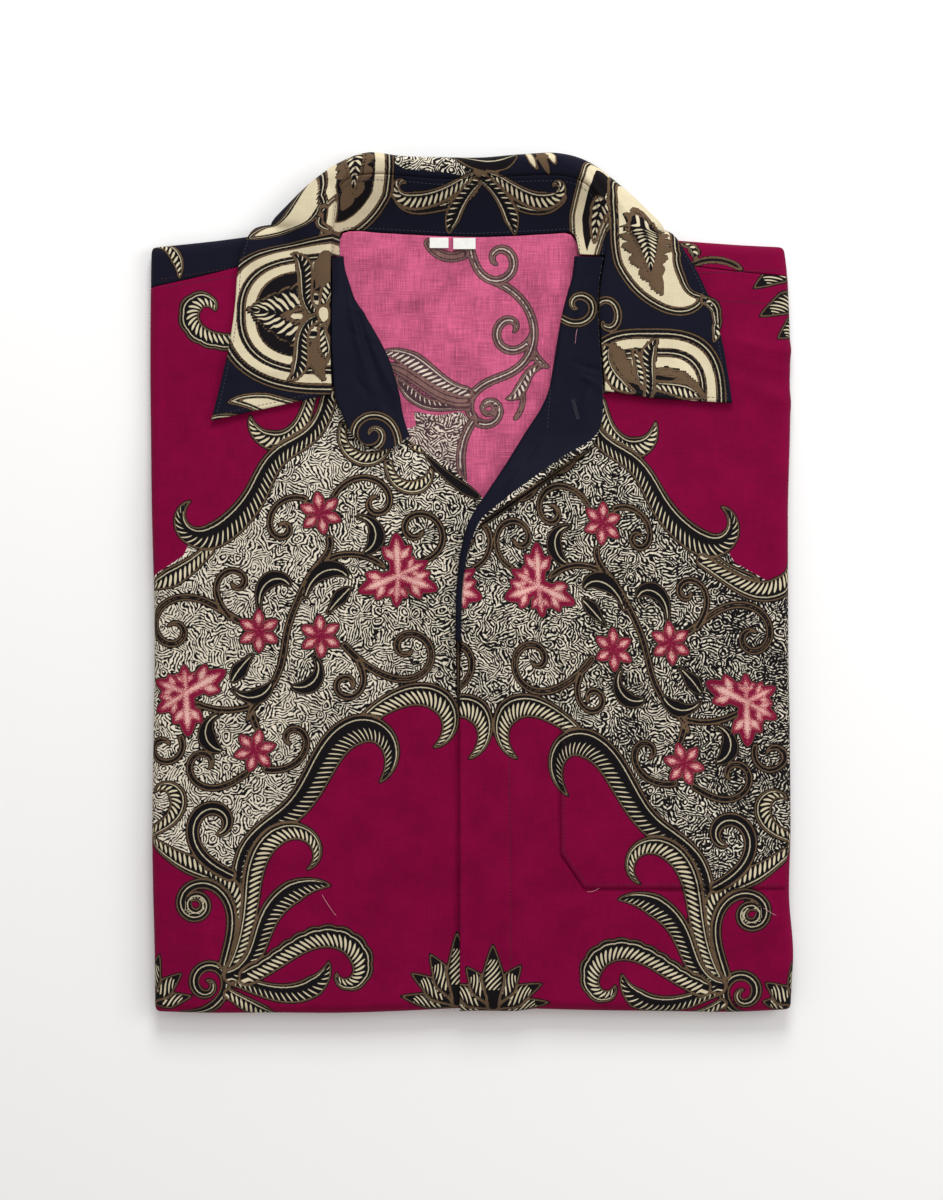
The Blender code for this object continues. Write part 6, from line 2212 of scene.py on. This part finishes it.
@dataclass
class Pocket:
    """The patch pocket on the left front, its lower corner cut off."""

    finish: bpy.types.Material
    left: float = 51.6
    top: float = -41.5
    bottom: float = -174.9
    cut: tuple[float, float] = (13.4, 19.5)
    thickness: float = 0.6
    lift: float = 1.5
    sewn: float = 0.8
    edge_turn: float = 1.6
    past_side: float = 0.36
    spacing: float = 1.1

    def left_at(self, along: Grid) -> Grid:
        """The pocket's edge by height, with the cut corner."""
        share = np.clip((self.bottom + self.cut[1] - along) / self.cut[1], 0.0, 1.0)
        return self.left + self.cut[0] * share

    def build(self) -> list[bpy.types.Object]:
        """Makes the pocket."""
        rows = marks_between([self.top, self.bottom + self.cut[1], self.bottom], self.spacing)
        left = self.left_at(rows)
        flat = STACK.half_width - STACK.fold_reach
        shares = np.linspace(0.0, 1.0, int((flat - self.left) / self.spacing) + 1)
        across = left[:, None] + (flat - left)[:, None] * shares
        end = flat + STACK.fold_cloth * self.past_side * np.linspace(0.0, 1.0, 5)[1:]
        across = np.column_stack([across, np.broadcast_to(end, (len(rows), len(end)))])
        along = np.repeat(rows[:, None], across.shape[1], axis=1)
        from_edge = np.minimum(across - left[:, None], along - self.bottom)
        lift = self.sewn + (self.lift - self.sewn) * fade(0.0, self.edge_turn, from_edge)
        face = STACK.lie(across, along, -lift)
        ways = unit(face - STACK.lie(across, along, -lift + WAY_DEPTH))
        place = np.stack(STACK.seen_place(across, along), -1)
        drawn = paint_left(place[..., 0], place[..., 1])
        cloth = Cloth("pocket_cloth", face, self.thickness, place, ways, channels=drawn)
        piece = cloth.pressed(FRONT_CREASES, place[..., 0], place[..., 1]).make(self.finish)
        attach(piece, ROOT)
        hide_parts("pocket")
        return [piece]


@dataclass
class Facings:
    """The front facings, turned out as lapels."""

    finish: bpy.types.Material
    fronts: Fronts
    thickness: float = 1.0
    cad_thickness: float = 1.6
    gap: float = 0.35
    bend: float = 2.6
    inside_leg: float = 4.4
    spans: int = 14
    rim: float = 3.4
    rim_top: tuple[float, float] = (90.0, 74.0)
    rim_foot: tuple[float, float] = (26.0, 44.0)
    height_share: float = 0.2
    rise_shape: float = 1.5

    def face(self, rows: Sequence[LapelRow], lifted: bool) -> Grid:
        """Draws a facing's outer face, from inside the neck out over the front.

        Args:
            rows: the lapel's table.
            lifted: whether it lies on the raised left front.

        Returns:
            The face's points, rows along the lapel.
        """
        bend, out, edge, rise = lapel_curve(rows, self.spans)
        turns = np.radians(np.linspace(-90.0, 90.0, 15))
        offsets = np.concatenate([
            np.linspace(self.bend + self.inside_leg, self.bend, 5)[:-1], self.bend * (1 - np.cos(turns)),
        ])
        heights = np.concatenate([np.full(4, -self.bend), self.bend * np.sin(turns)])
        shares = np.linspace(0.0, 1.0, 27)[1:]
        sections = []
        for at, way, end, lift in zip(bend, out, edge, rise):
            places = at + way * offsets[:, None]
            flat = places[-1] + (end - places[-1]) * shares[:, None]
            high = np.concatenate([heights, self.bend + lift * shares**self.rise_shape])
            places = np.concatenate([places, flat])
            base = STACK.top_height(places[:, 0], places[:, 1])
            if lifted:
                base = base + self.fronts.left_rise(at[0] + way[0] * self.bend, places[:, 1])
            middle = self.cad_thickness + self.gap - self.bend
            sections.append(np.column_stack([places, base + middle + high]))
        return np.array(sections)

    def build(self) -> list[bpy.types.Object]:
        """Makes both facings."""
        made = []
        for name, node, rows, lifted, size, area in (
            ("facing_left_cloth", "facing_left", LEFT_LAPEL, True, (0.04, 0.27), 0.0066),
            ("facing_right_cloth", "facing_right", RIGHT_LAPEL, False, (0.045, 0.135), 0.0045),
        ):
            face = self.face(rows, lifted)
            ways = face_normals(face)
            if ways[:, -1, 2].sum() < 0:
                ways = -ways
            ways[:, -1] = (0.0, 0.0, 1.0)
            place = face[..., :2].copy()
            place[..., 0] += (face[..., 2] - face[:, -1:, 2]) * self.height_share
            drawn = paint(face[..., 0], face[..., 1], FACING_LAYERS)
            if lifted:
                rim = np.hypot(face[..., 0] - face[:, -1:, 0], face[..., 1] - face[:, -1:, 1])
                seen = fade(*self.rim_top, face[:, -1:, 1]) * fade(*self.rim_foot, face[:, -1:, 1])
                drawn["print_worm"] = np.minimum(drawn["print_worm"], rim - self.rim * seen)
            cloth = Cloth(name, face, self.thickness, place, ways, channels=drawn)
            piece = cloth.pressed(FACING_CREASES, face[..., 0], face[..., 1]).make(self.finish)
            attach(piece, ROOT)
            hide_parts(node)
            made.append(piece)
        return made


@dataclass
class Collar:
    """The collar: a stand round the neck and a leaf that falls over the shoulders."""

    finish: bpy.types.Material
    thickness: float = 1.3
    stand_thickness: float = 1.2
    seam_gap: float = 0.5
    stand_bow: float = 0.9
    step: float = 1.0 / 14
    crest_lines: int = 6
    fall_lines: int = 23
    edge_lines: int = 36
    stand_lines: int = 34
    stand_height: float = 42.0
    seam_lines: float = 8.0
    stand_creases: float = 0.3

    @staticmethod
    def columns(places: Grid) -> dict[str, Grid]:
        """Every column of the collar's table at these stations."""
        return {name: smooth_run(column(COLLAR_ROWS, name), places) for name in CollarRow._fields}

    def leaf_face(self, places: Grid) -> Grid:
        """Draws the leaf's outer face, from the stand's seam down to its edge.

        Args:
            places: the stations.

        Returns:
            The face's points, rows along the collar.
        """
        row = self.columns(places)
        seam = np.stack([row["seam_x"], row["seam_y"]], -1)
        fall = np.stack([row["fall_x"], row["fall_y"]], -1)
        edge = np.stack([row["edge_x"], row["edge_y"]], -1)
        crest = seam + (fall - seam) * row["crest"][:, None]
        face = []

        def lay(laid_at: Grid, laid_up: Grid, hung_at: Grid, hung_up: Grid) -> None:
            """Adds a line of points between how the leaf lies and how it hangs."""
            place = laid_at + (hung_at - laid_at) * row["under"][:, None]
            face.append((place, laid_up + (hung_up - laid_up) * row["under"]))

        for share in np.linspace(0.0, 1.0, self.crest_lines):
            up = row["crest_up"] - (row["crest_up"] - row["seam_up"]) * (1 - share) ** 2
            face.append((seam + (crest - seam) * share, up))
        drop = row["crest_up"] - row["fall_up"]
        for share in np.linspace(0.0, 1.0, self.fall_lines)[1:]:
            turn = share * np.pi / 2
            lay(crest + (fall - crest) * share, row["fall_up"] + drop * (0.5 + 0.5 * np.cos(np.pi * share)),
                crest + (fall - crest) * np.sin(turn), row["fall_up"] + drop * np.cos(turn))
        drop = row["edge_up"] - row["fall_up"]
        for share in np.linspace(0.0, 1.0, self.edge_lines)[1:]:
            turn = share * np.pi / 2
            lay(fall + (edge - fall) * share, row["fall_up"] + drop * share**2,
                edge + (fall - edge) * np.cos(turn), row["fall_up"] + drop * np.sin(turn))
        points = [np.column_stack([at, STACK.cloth_below(at[:, 0], at[:, 1]) + up]) for at, up in face]
        return np.stack(points, axis=1)

    def stand_face(self, places: Grid) -> Grid:
        """Draws the stand's inner face, from the neck seam up to the leaf's seam."""
        row = self.columns(places)
        foot = np.stack([between_rows(NECK_ROWS, "station", name, places) for name in ("x", "y", "up")], -1)
        head = np.stack([row["seam_x"], row["seam_y"], row["seam_up"]], -1)
        head = head - unit(head - foot) * self.seam_gap
        face = []
        for share in np.linspace(0.0, 1.0, self.stand_lines):
            points = foot + (head - foot) * share
            bow = self.stand_bow * np.sin(np.pi * share)
            points[:, 2] += STACK.cloth_below(points[:, 0], points[:, 1]) - bow
            face.append(points)
        return np.stack(face, axis=1)

    def print_place(self, face: Grid, places: Grid, name: str) -> tuple[Grid, Grid]:
        """Where the print's drawing falls: as seen from above, and along the cloth behind the neck."""
        if name != "collar_leaf_cloth":
            return face[..., 0], face[..., 1]
        under = self.columns(places)["under"][:, None]
        steps = np.linalg.norm(np.diff(face, axis=1), axis=2)
        run = np.concatenate([np.zeros((len(face), 1)), np.cumsum(steps, axis=1)], axis=1)
        hung = np.clip(under, 0.0, 1.0)
        return face[..., 0], face[..., 1] * (1 - hung) + (face[:, :1, 1] + run) * hung

    def build(self) -> list[bpy.types.Object]:
        """Makes the leaf and the stand, joined in a seam."""
        places = np.arange(0.0, len(COLLAR_ROWS) - 1 + self.step / 2, self.step)
        leaf = self.leaf_face(places)
        leaf_way = face_normals(leaf)
        held = (places >= NECK_ROWS[0].station) & (places <= NECK_ROWS[-1].station)
        stand = self.stand_face(places[held])
        stand_way = face_normals(stand)
        leaf_way[~held, 0] = (0.0, 0.0, 1.0)
        leaf_place = leaf[..., :2].copy()
        heights = np.linspace(0.0, self.stand_height, self.stand_lines)
        stand_place = np.stack([stand[..., 0], np.broadcast_to(heights, stand.shape[:2])], -1)
        made = []
        off_seam = np.clip(np.arange(leaf.shape[1]) / self.seam_lines, 0.0, 1.0)
        for name, node, face, way, place, wall, free, size in (
            ("collar_leaf_cloth", "collar_leaf", leaf, leaf_way, leaf_place, self.thickness,
             off_seam, (0.47, 0.072, 0.0245)),
            ("collar_stand_cloth", "collar_stand", stand, stand_way, stand_place, self.stand_thickness,
             self.stand_creases, (0.2, 0.036, 0.006)),
        ):
            seen = self.print_place(face, places, name)
            cloth = Cloth(name, face, wall, place, way, channels=paint(*seen, COLLAR_LAYERS))
            piece = cloth.pressed(COLLAR_CREASES, *seen, free).make(self.finish)
            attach(piece, ROOT)
            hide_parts(node)
            made.append(piece)
        return made


# --- Sewing ------------------------------------------------------------------------


class Laid:
    """The upper side of a made cloth, to lay thread on."""

    LOOKS_UP = 0.25
    NEAREST = 4
    SOFT = 0.05

    def __init__(self, cloth: Cloth) -> None:
        """Keeps the points of the cloth that look up."""
        self.points = cloth.face[cloth.outward()[..., 2] > self.LOOKS_UP]

    def on(self, path: Grid, proud: float = 0.05) -> Grid:
        """Drops a path of places onto the cloth.

        Args:
            path: places across and along.
            proud: how far over the cloth the points end.

        Returns:
            Points in space.
        """
        made = []
        for place in path:
            gap = np.hypot(*(self.points[:, :2] - place).T)
            near = np.argpartition(gap, self.NEAREST)[:self.NEAREST]
            weight = 1 / (gap[near] + self.SOFT)
            made.append((*place, float((self.points[near, 2] * weight).sum() / weight.sum()) + proud))
        return np.array(made)


def walk(corners: Sequence[tuple[float, float]], spacing: float = 1.5) -> Grid:
    """Walks along straight runs between corners in equal steps."""
    points = np.array(corners, float)
    runs = np.hypot(*np.diff(points, axis=0).T)
    places = np.concatenate([[0.0], np.cumsum(runs)])
    at = np.linspace(0.0, places[-1], max(2, int(places[-1] / spacing) + 1))
    return np.stack([np.interp(at, places, points[:, k]) for k in (0, 1)], -1)


@dataclass(frozen=True)
class StitchTree:
    """The node tree that sets stitches along paths."""

    name: str = "stitch_run"

    def make(self) -> bpy.types.NodeTree:
        """Makes the tree, with its sizes as named inputs in metres."""
        tree = bpy.data.node_groups.new(self.name, "GeometryNodeTree")
        for label, kind in (("Geometry", "Geometry"), ("Pitch", "Float"), ("Length", "Float"),
                            ("Width", "Float"), ("Thread", "Material")):
            tree.interface.new_socket(label, in_out="INPUT", socket_type=f"NodeSocket{kind}")
        tree.interface.new_socket("Geometry", in_out="OUTPUT", socket_type="NodeSocketGeometry")
        add = tree.nodes.new
        given, out = add("NodeGroupInput"), add("NodeGroupOutput")
        curve, spaced = add("GeometryNodeMeshToCurve"), add("GeometryNodeResampleCurve")
        spaced.mode = "LENGTH"
        way, turn = add("GeometryNodeInputTangent"), add("FunctionNodeAlignRotationToVector")
        turn.axis = "X"
        ball, size = add("GeometryNodeMeshIcoSphere"), add("ShaderNodeCombineXYZ")
        ball.inputs["Radius"].default_value = 0.5
        ball.inputs["Subdivisions"].default_value = 1
        shaped, set_out = add("GeometryNodeTransform"), add("GeometryNodeInstanceOnPoints")
        real, smooth = add("GeometryNodeRealizeInstances"), add("GeometryNodeSetShadeSmooth")
        dress = add("GeometryNodeSetMaterial")
        for source, target in (
            (given.outputs["Geometry"], curve.inputs[0]),
            (curve.outputs[0], spaced.inputs["Curve"]),
            (given.outputs["Pitch"], spaced.inputs["Length"]),
            (way.outputs[0], turn.inputs["Vector"]),
            (given.outputs["Length"], size.inputs["X"]),
            (given.outputs["Width"], size.inputs["Y"]),
            (given.outputs["Width"], size.inputs["Z"]),
            (ball.outputs["Mesh"], shaped.inputs["Geometry"]),
            (size.outputs[0], shaped.inputs["Scale"]),
            (spaced.outputs[0], set_out.inputs["Points"]),
            (shaped.outputs[0], set_out.inputs["Instance"]),
            (turn.outputs[0], set_out.inputs["Rotation"]),
            (set_out.outputs[0], real.inputs[0]),
            (real.outputs[0], smooth.inputs[0]),
            (smooth.outputs[0], dress.inputs["Geometry"]),
            (given.outputs["Thread"], dress.inputs["Material"]),
            (dress.outputs[0], out.inputs[0]),
        ):
            tree.links.new(source, target)
        return tree


@dataclass(frozen=True)
class Thread:
    """How one row of stitches looks, in mm."""

    pitch: float = 2.3
    length: float = 1.8
    width: float = 0.42


SEAMS: dict[str, tuple[tuple[tuple[float, float], ...], ...]] = {
    "front_left_cloth": (
        ((21.2, -14.0), (21.8, -90.0), (22.6, -160.0), (23.0, -246.0)),
        ((67.0, 166.9), (176.0, 160.8)),
    ),
    "front_right_cloth": (((-88.0, 184.5), (-176.0, 170.6)),),
    "pocket_cloth": (
        ((53.4, -43.0), (53.4, -154.4), (66.4, -172.9), (176.0, -172.9)),
        ((53.4, -59.0), (176.0, -59.0)),
    ),
    "yoke_cloth": (((-82.5, 190.2), (-178.0, 175.2)), ((66.5, 176.2), (178.0, 180.3))),
    "facing_left_cloth": (((45.8, 134.0), (45.6, 112.0), (44.0, 90.0)),),
}
BUTTONHOLE = ((58.6, 105.6), (61.4, 94.6))
LOOSE_ENDS = (
    ("front_right_cloth", Curl(-85.3, -178.9, -66, 14.0, (0.9, -0.2, 0.9))),
    ("front_left_cloth", Curl(67.0, -177.0, -8, 9.0, (1.6, 0.8, -1.0))),
    ("front_left_cloth", Curl(168.0, -186.5, -24, 8.0, (-0.8, 1.0))),
    ("facing_left_cloth", Curl(61.0, 146.0, 250, 8.0, (0.9, -0.6))),
)


@dataclass
class Sewing:
    """Top-stitching, the buttonhole and a few loose ends of thread."""

    crimson_thread: bpy.types.Material
    navy_thread: bpy.types.Material
    pale_thread: bpy.types.Material
    cloths: dict[str, Cloth]
    tree: bpy.types.NodeTree
    edge_column: int = -3
    turned: int = 12
    proud: float = 0.05
    hole_proud: float = 0.12
    hole_stitches: int = 41
    hole_reach: tuple[float, float] = (0.85, 0.2)
    loose_lift: tuple[float, float] = (0.15, 0.9)
    plain: Thread = Thread()
    close: Thread = Thread(0.42, 0.7, 0.3)
    loose: Thread = Thread(0.3, 0.5, 0.26)

    def _rows(self, name: str, paths: Sequence[Grid], thread: Thread, finish: bpy.types.Material) -> bpy.types.Object:
        """Sets stitches along some paths as one piece.

        Args:
            name: the piece's name.
            paths: points in mm.
            thread: the stitches' sizes.
            finish: the thread's material.

        Returns:
            The plain mesh object.
        """
        mesh = bpy.data.meshes.new(f"{name}_path")
        points = np.concatenate(paths)
        edges, start = [], 0
        for path in paths:
            edges += [(start + k, start + k + 1) for k in range(len(path) - 1)]
            start += len(path)
        mesh.from_pydata(((points - ORIGIN) * METRE).tolist(), edges, [])
        path_object = new_object(f"{name}_path", mesh)
        run = path_object.modifiers.new("stitches", "NODES")
        run.node_group = self.tree
        sockets = self.tree.interface.items_tree
        inputs = {item.name: item.identifier for item in sockets if item.in_out == "INPUT"}
        for label, value in (("Pitch", thread.pitch * METRE), ("Length", thread.length * METRE),
                             ("Width", thread.width * METRE), ("Thread", finish)):
            run[inputs[label]] = value
        graph = bpy.context.evaluated_depsgraph_get()
        made_mesh = bpy.data.meshes.new_from_object(path_object.evaluated_get(graph), depsgraph=graph)
        bpy.data.objects.remove(path_object)
        made_mesh.name = name
        made = new_object(name, made_mesh)
        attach(made, ROOT)
        return made

    def _along_grid(self, cloth: Cloth, pick: tuple[slice | int, slice | int]) -> Grid:
        """A path along a row or a column of a cloth's face, just over it."""
        return cloth.face[pick] + self.proud * cloth.outward()[pick]

    def _buttonhole(self) -> Grid:
        """A close zigzag round the slit of the buttonhole."""
        start, end = np.array(BUTTONHOLE)
        run = end - start
        out = np.array([-run[1], run[0]]) / np.hypot(*run)
        places = []
        for side in (1.0, -1.0):
            for k, share in enumerate(np.linspace(0.0, 1.0, self.hole_stitches)[::int(side)]):
                places.append(start + run * share + side * out * self.hole_reach[k % 2])
        return np.array(places)

    def build(self) -> list[bpy.types.Object]:
        """Sews every row."""
        made = []
        for name, rows in SEAMS.items():
            laid = Laid(self.cloths[name])
            dark = name == "facing_left_cloth"
            made.append(self._rows(
                name.replace("_cloth", "_stitches"), [laid.on(walk(row)) for row in rows], self.plain,
                self.navy_thread if dark else self.crimson_thread,
            ))
        leaf, stand = self.cloths["collar_leaf_cloth"], self.cloths["collar_stand_cloth"]
        made.append(self._rows("collar_stitches", [
            self._along_grid(leaf, (slice(2, -2), self.edge_column)),
            self._along_grid(leaf, (2, slice(self.turned, self.edge_column))),
            self._along_grid(leaf, (-3, slice(self.turned, self.edge_column))),
            self._along_grid(stand, (slice(1, -1), -4)),
            self._along_grid(stand, (slice(1, -1), 2)),
        ], self.plain, self.navy_thread))
        hole = Laid(self.cloths["facing_left_cloth"]).on(self._buttonhole(), self.hole_proud)
        made.append(self._rows("buttonhole", [hole], self.close, self.navy_thread))
        ends = []
        for name, curl in LOOSE_ENDS:
            places = curl.spine(0.6)[0]
            low, high = self.loose_lift
            path = Laid(self.cloths[name]).on(places, 0.0)
            path[:, 2] += low + high * np.sin(np.linspace(0.0, np.pi, len(places))) ** 2
            ends.append(path)
        made.append(self._rows("thread_ends", ends, self.loose, self.pale_thread))
        return made


# --- Studio ------------------------------------------------------------------------


@dataclass(frozen=True)
class Lamp:
    """A square lamp that looks at the shirt: its place, power and width."""

    name: str
    place: tuple[float, float, float]
    power: float
    width: float = 0.8
    colour: Colour = (0.975, 0.99, 1.0)

    def build(self) -> None:
        """Hangs the lamp."""
        data = bpy.data.lights.new(self.name, "AREA")
        data.energy = self.power
        data.color = self.colour
        data.size = self.width
        lamp = new_object(self.name, data)
        lamp.location = self.place
        lamp.rotation_euler = (-Vector(self.place)).to_track_quat("-Z", "Y").to_euler()


@dataclass
class Studio:
    """The floor, the light and the camera, in metres."""

    frame_width: float = 0.547
    distance: float = 1.5
    aim: tuple[float, float] = (0.00006, -0.0097)
    sensor: float = 36.0
    far: float = 20.0
    floor_reach: float = 12.0
    paper: Colour = (0.82, 0.815, 0.815)
    paper_roughness: float = 0.9
    sky: Colour = (1.0, 0.975, 0.95)
    sky_strength: float = 0.62
    lamps: tuple[Lamp, ...] = (
        Lamp("window", (0.1, 1.5, 1.15), 27.0), Lamp("fill", (1.2, 0.3, 1.1), 8.0),
    )

    def _floor(self) -> None:
        """Lays the paper."""
        mesh = bpy.data.meshes.new("floor")
        size = self.floor_reach
        corners = [(-size, -size, 0), (size, -size, 0), (size, size, 0), (-size, size, 0)]
        mesh.from_pydata(corners, [], [(0, 1, 2, 3)])
        mesh.materials.append(PlainFinish("paper_floor", self.paper, self.paper_roughness).make())
        new_object("floor", mesh)

    def _world(self) -> None:
        """Lights the room evenly."""
        world = bpy.data.worlds.new("studio")
        world.use_nodes = True
        light = world.node_tree.nodes["Background"].inputs
        light["Color"].default_value = (*self.sky, 1.0)
        light["Strength"].default_value = self.sky_strength
        bpy.context.scene.world = world
        bpy.context.scene.view_settings.view_transform = "Standard"

    def _camera(self) -> None:
        """Stands the camera straight over the shirt."""
        data = bpy.data.cameras.new("camera")
        data.sensor_fit = "HORIZONTAL"
        data.sensor_width = self.sensor
        data.lens = self.sensor * self.distance / self.frame_width
        data.clip_end = self.far
        camera = new_object("camera", data)
        camera.location = (*self.aim, self.distance)
        bpy.context.scene.camera = camera

    def build(self) -> None:
        """Makes floor, world, lamps and camera."""
        self._floor()
        self._world()
        for lamp in self.lamps:
            lamp.build()
        self._camera()


def main(frame: dict) -> None:
    """Builds the shirt piece by piece.

    Args:
        frame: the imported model.
    """
    logging.basicConfig(level=logging.INFO, format="%(message)s")
    weave = WeaveGroup().make()
    wax = InkGroup().make(WormGroup().make())
    crimson = PrintFinish("crimson_print", Inks(), weave, wax, unevenness=0.45, slub=1.5).make()
    yoke = PrintFinish("yoke_print", Inks(ground=NAVY, petal=Inks().ground), weave, wax).make()
    navy = PrintFinish("navy_print", Inks(ground=NAVY), weave, wax).make()
    facing = PrintFinish("facing_print", Inks(ground=NAVY), weave, wax, roughness=0.6, sheen=0.008).make()
    pink = PrintFinish("pink_wrong_side", WRONG_SIDE, weave, wax, unevenness=0.8, slub=2.6, fleck=0.6).make()
    fronts = Fronts(crimson)
    for maker in (
        fronts, Yoke(yoke, fronts), Back(pink), Pocket(crimson), Facings(facing, fronts), Collar(navy),
    ):
        for piece in maker.build():
            LOG.info("%s: %d faces", piece.name, len(piece.data.polygons))
    sewing = Sewing(ThreadFinish("crimson_thread", (0.028, 0.0008, 0.006)).make(),
                    ThreadFinish("navy_thread", (0.02, 0.022, 0.035)).make(),
                    ThreadFinish("pale_thread", (0.62, 0.3, 0.36)).make(), CLOTHS, StitchTree().make())
    for piece in sewing.build():
        LOG.info("%s: %d faces", piece.name, len(piece.data.polygons))
    dress_shown_nodes(frame)
    Studio().build()


if __name__ == "__main__":
    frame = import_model()
    main(frame)
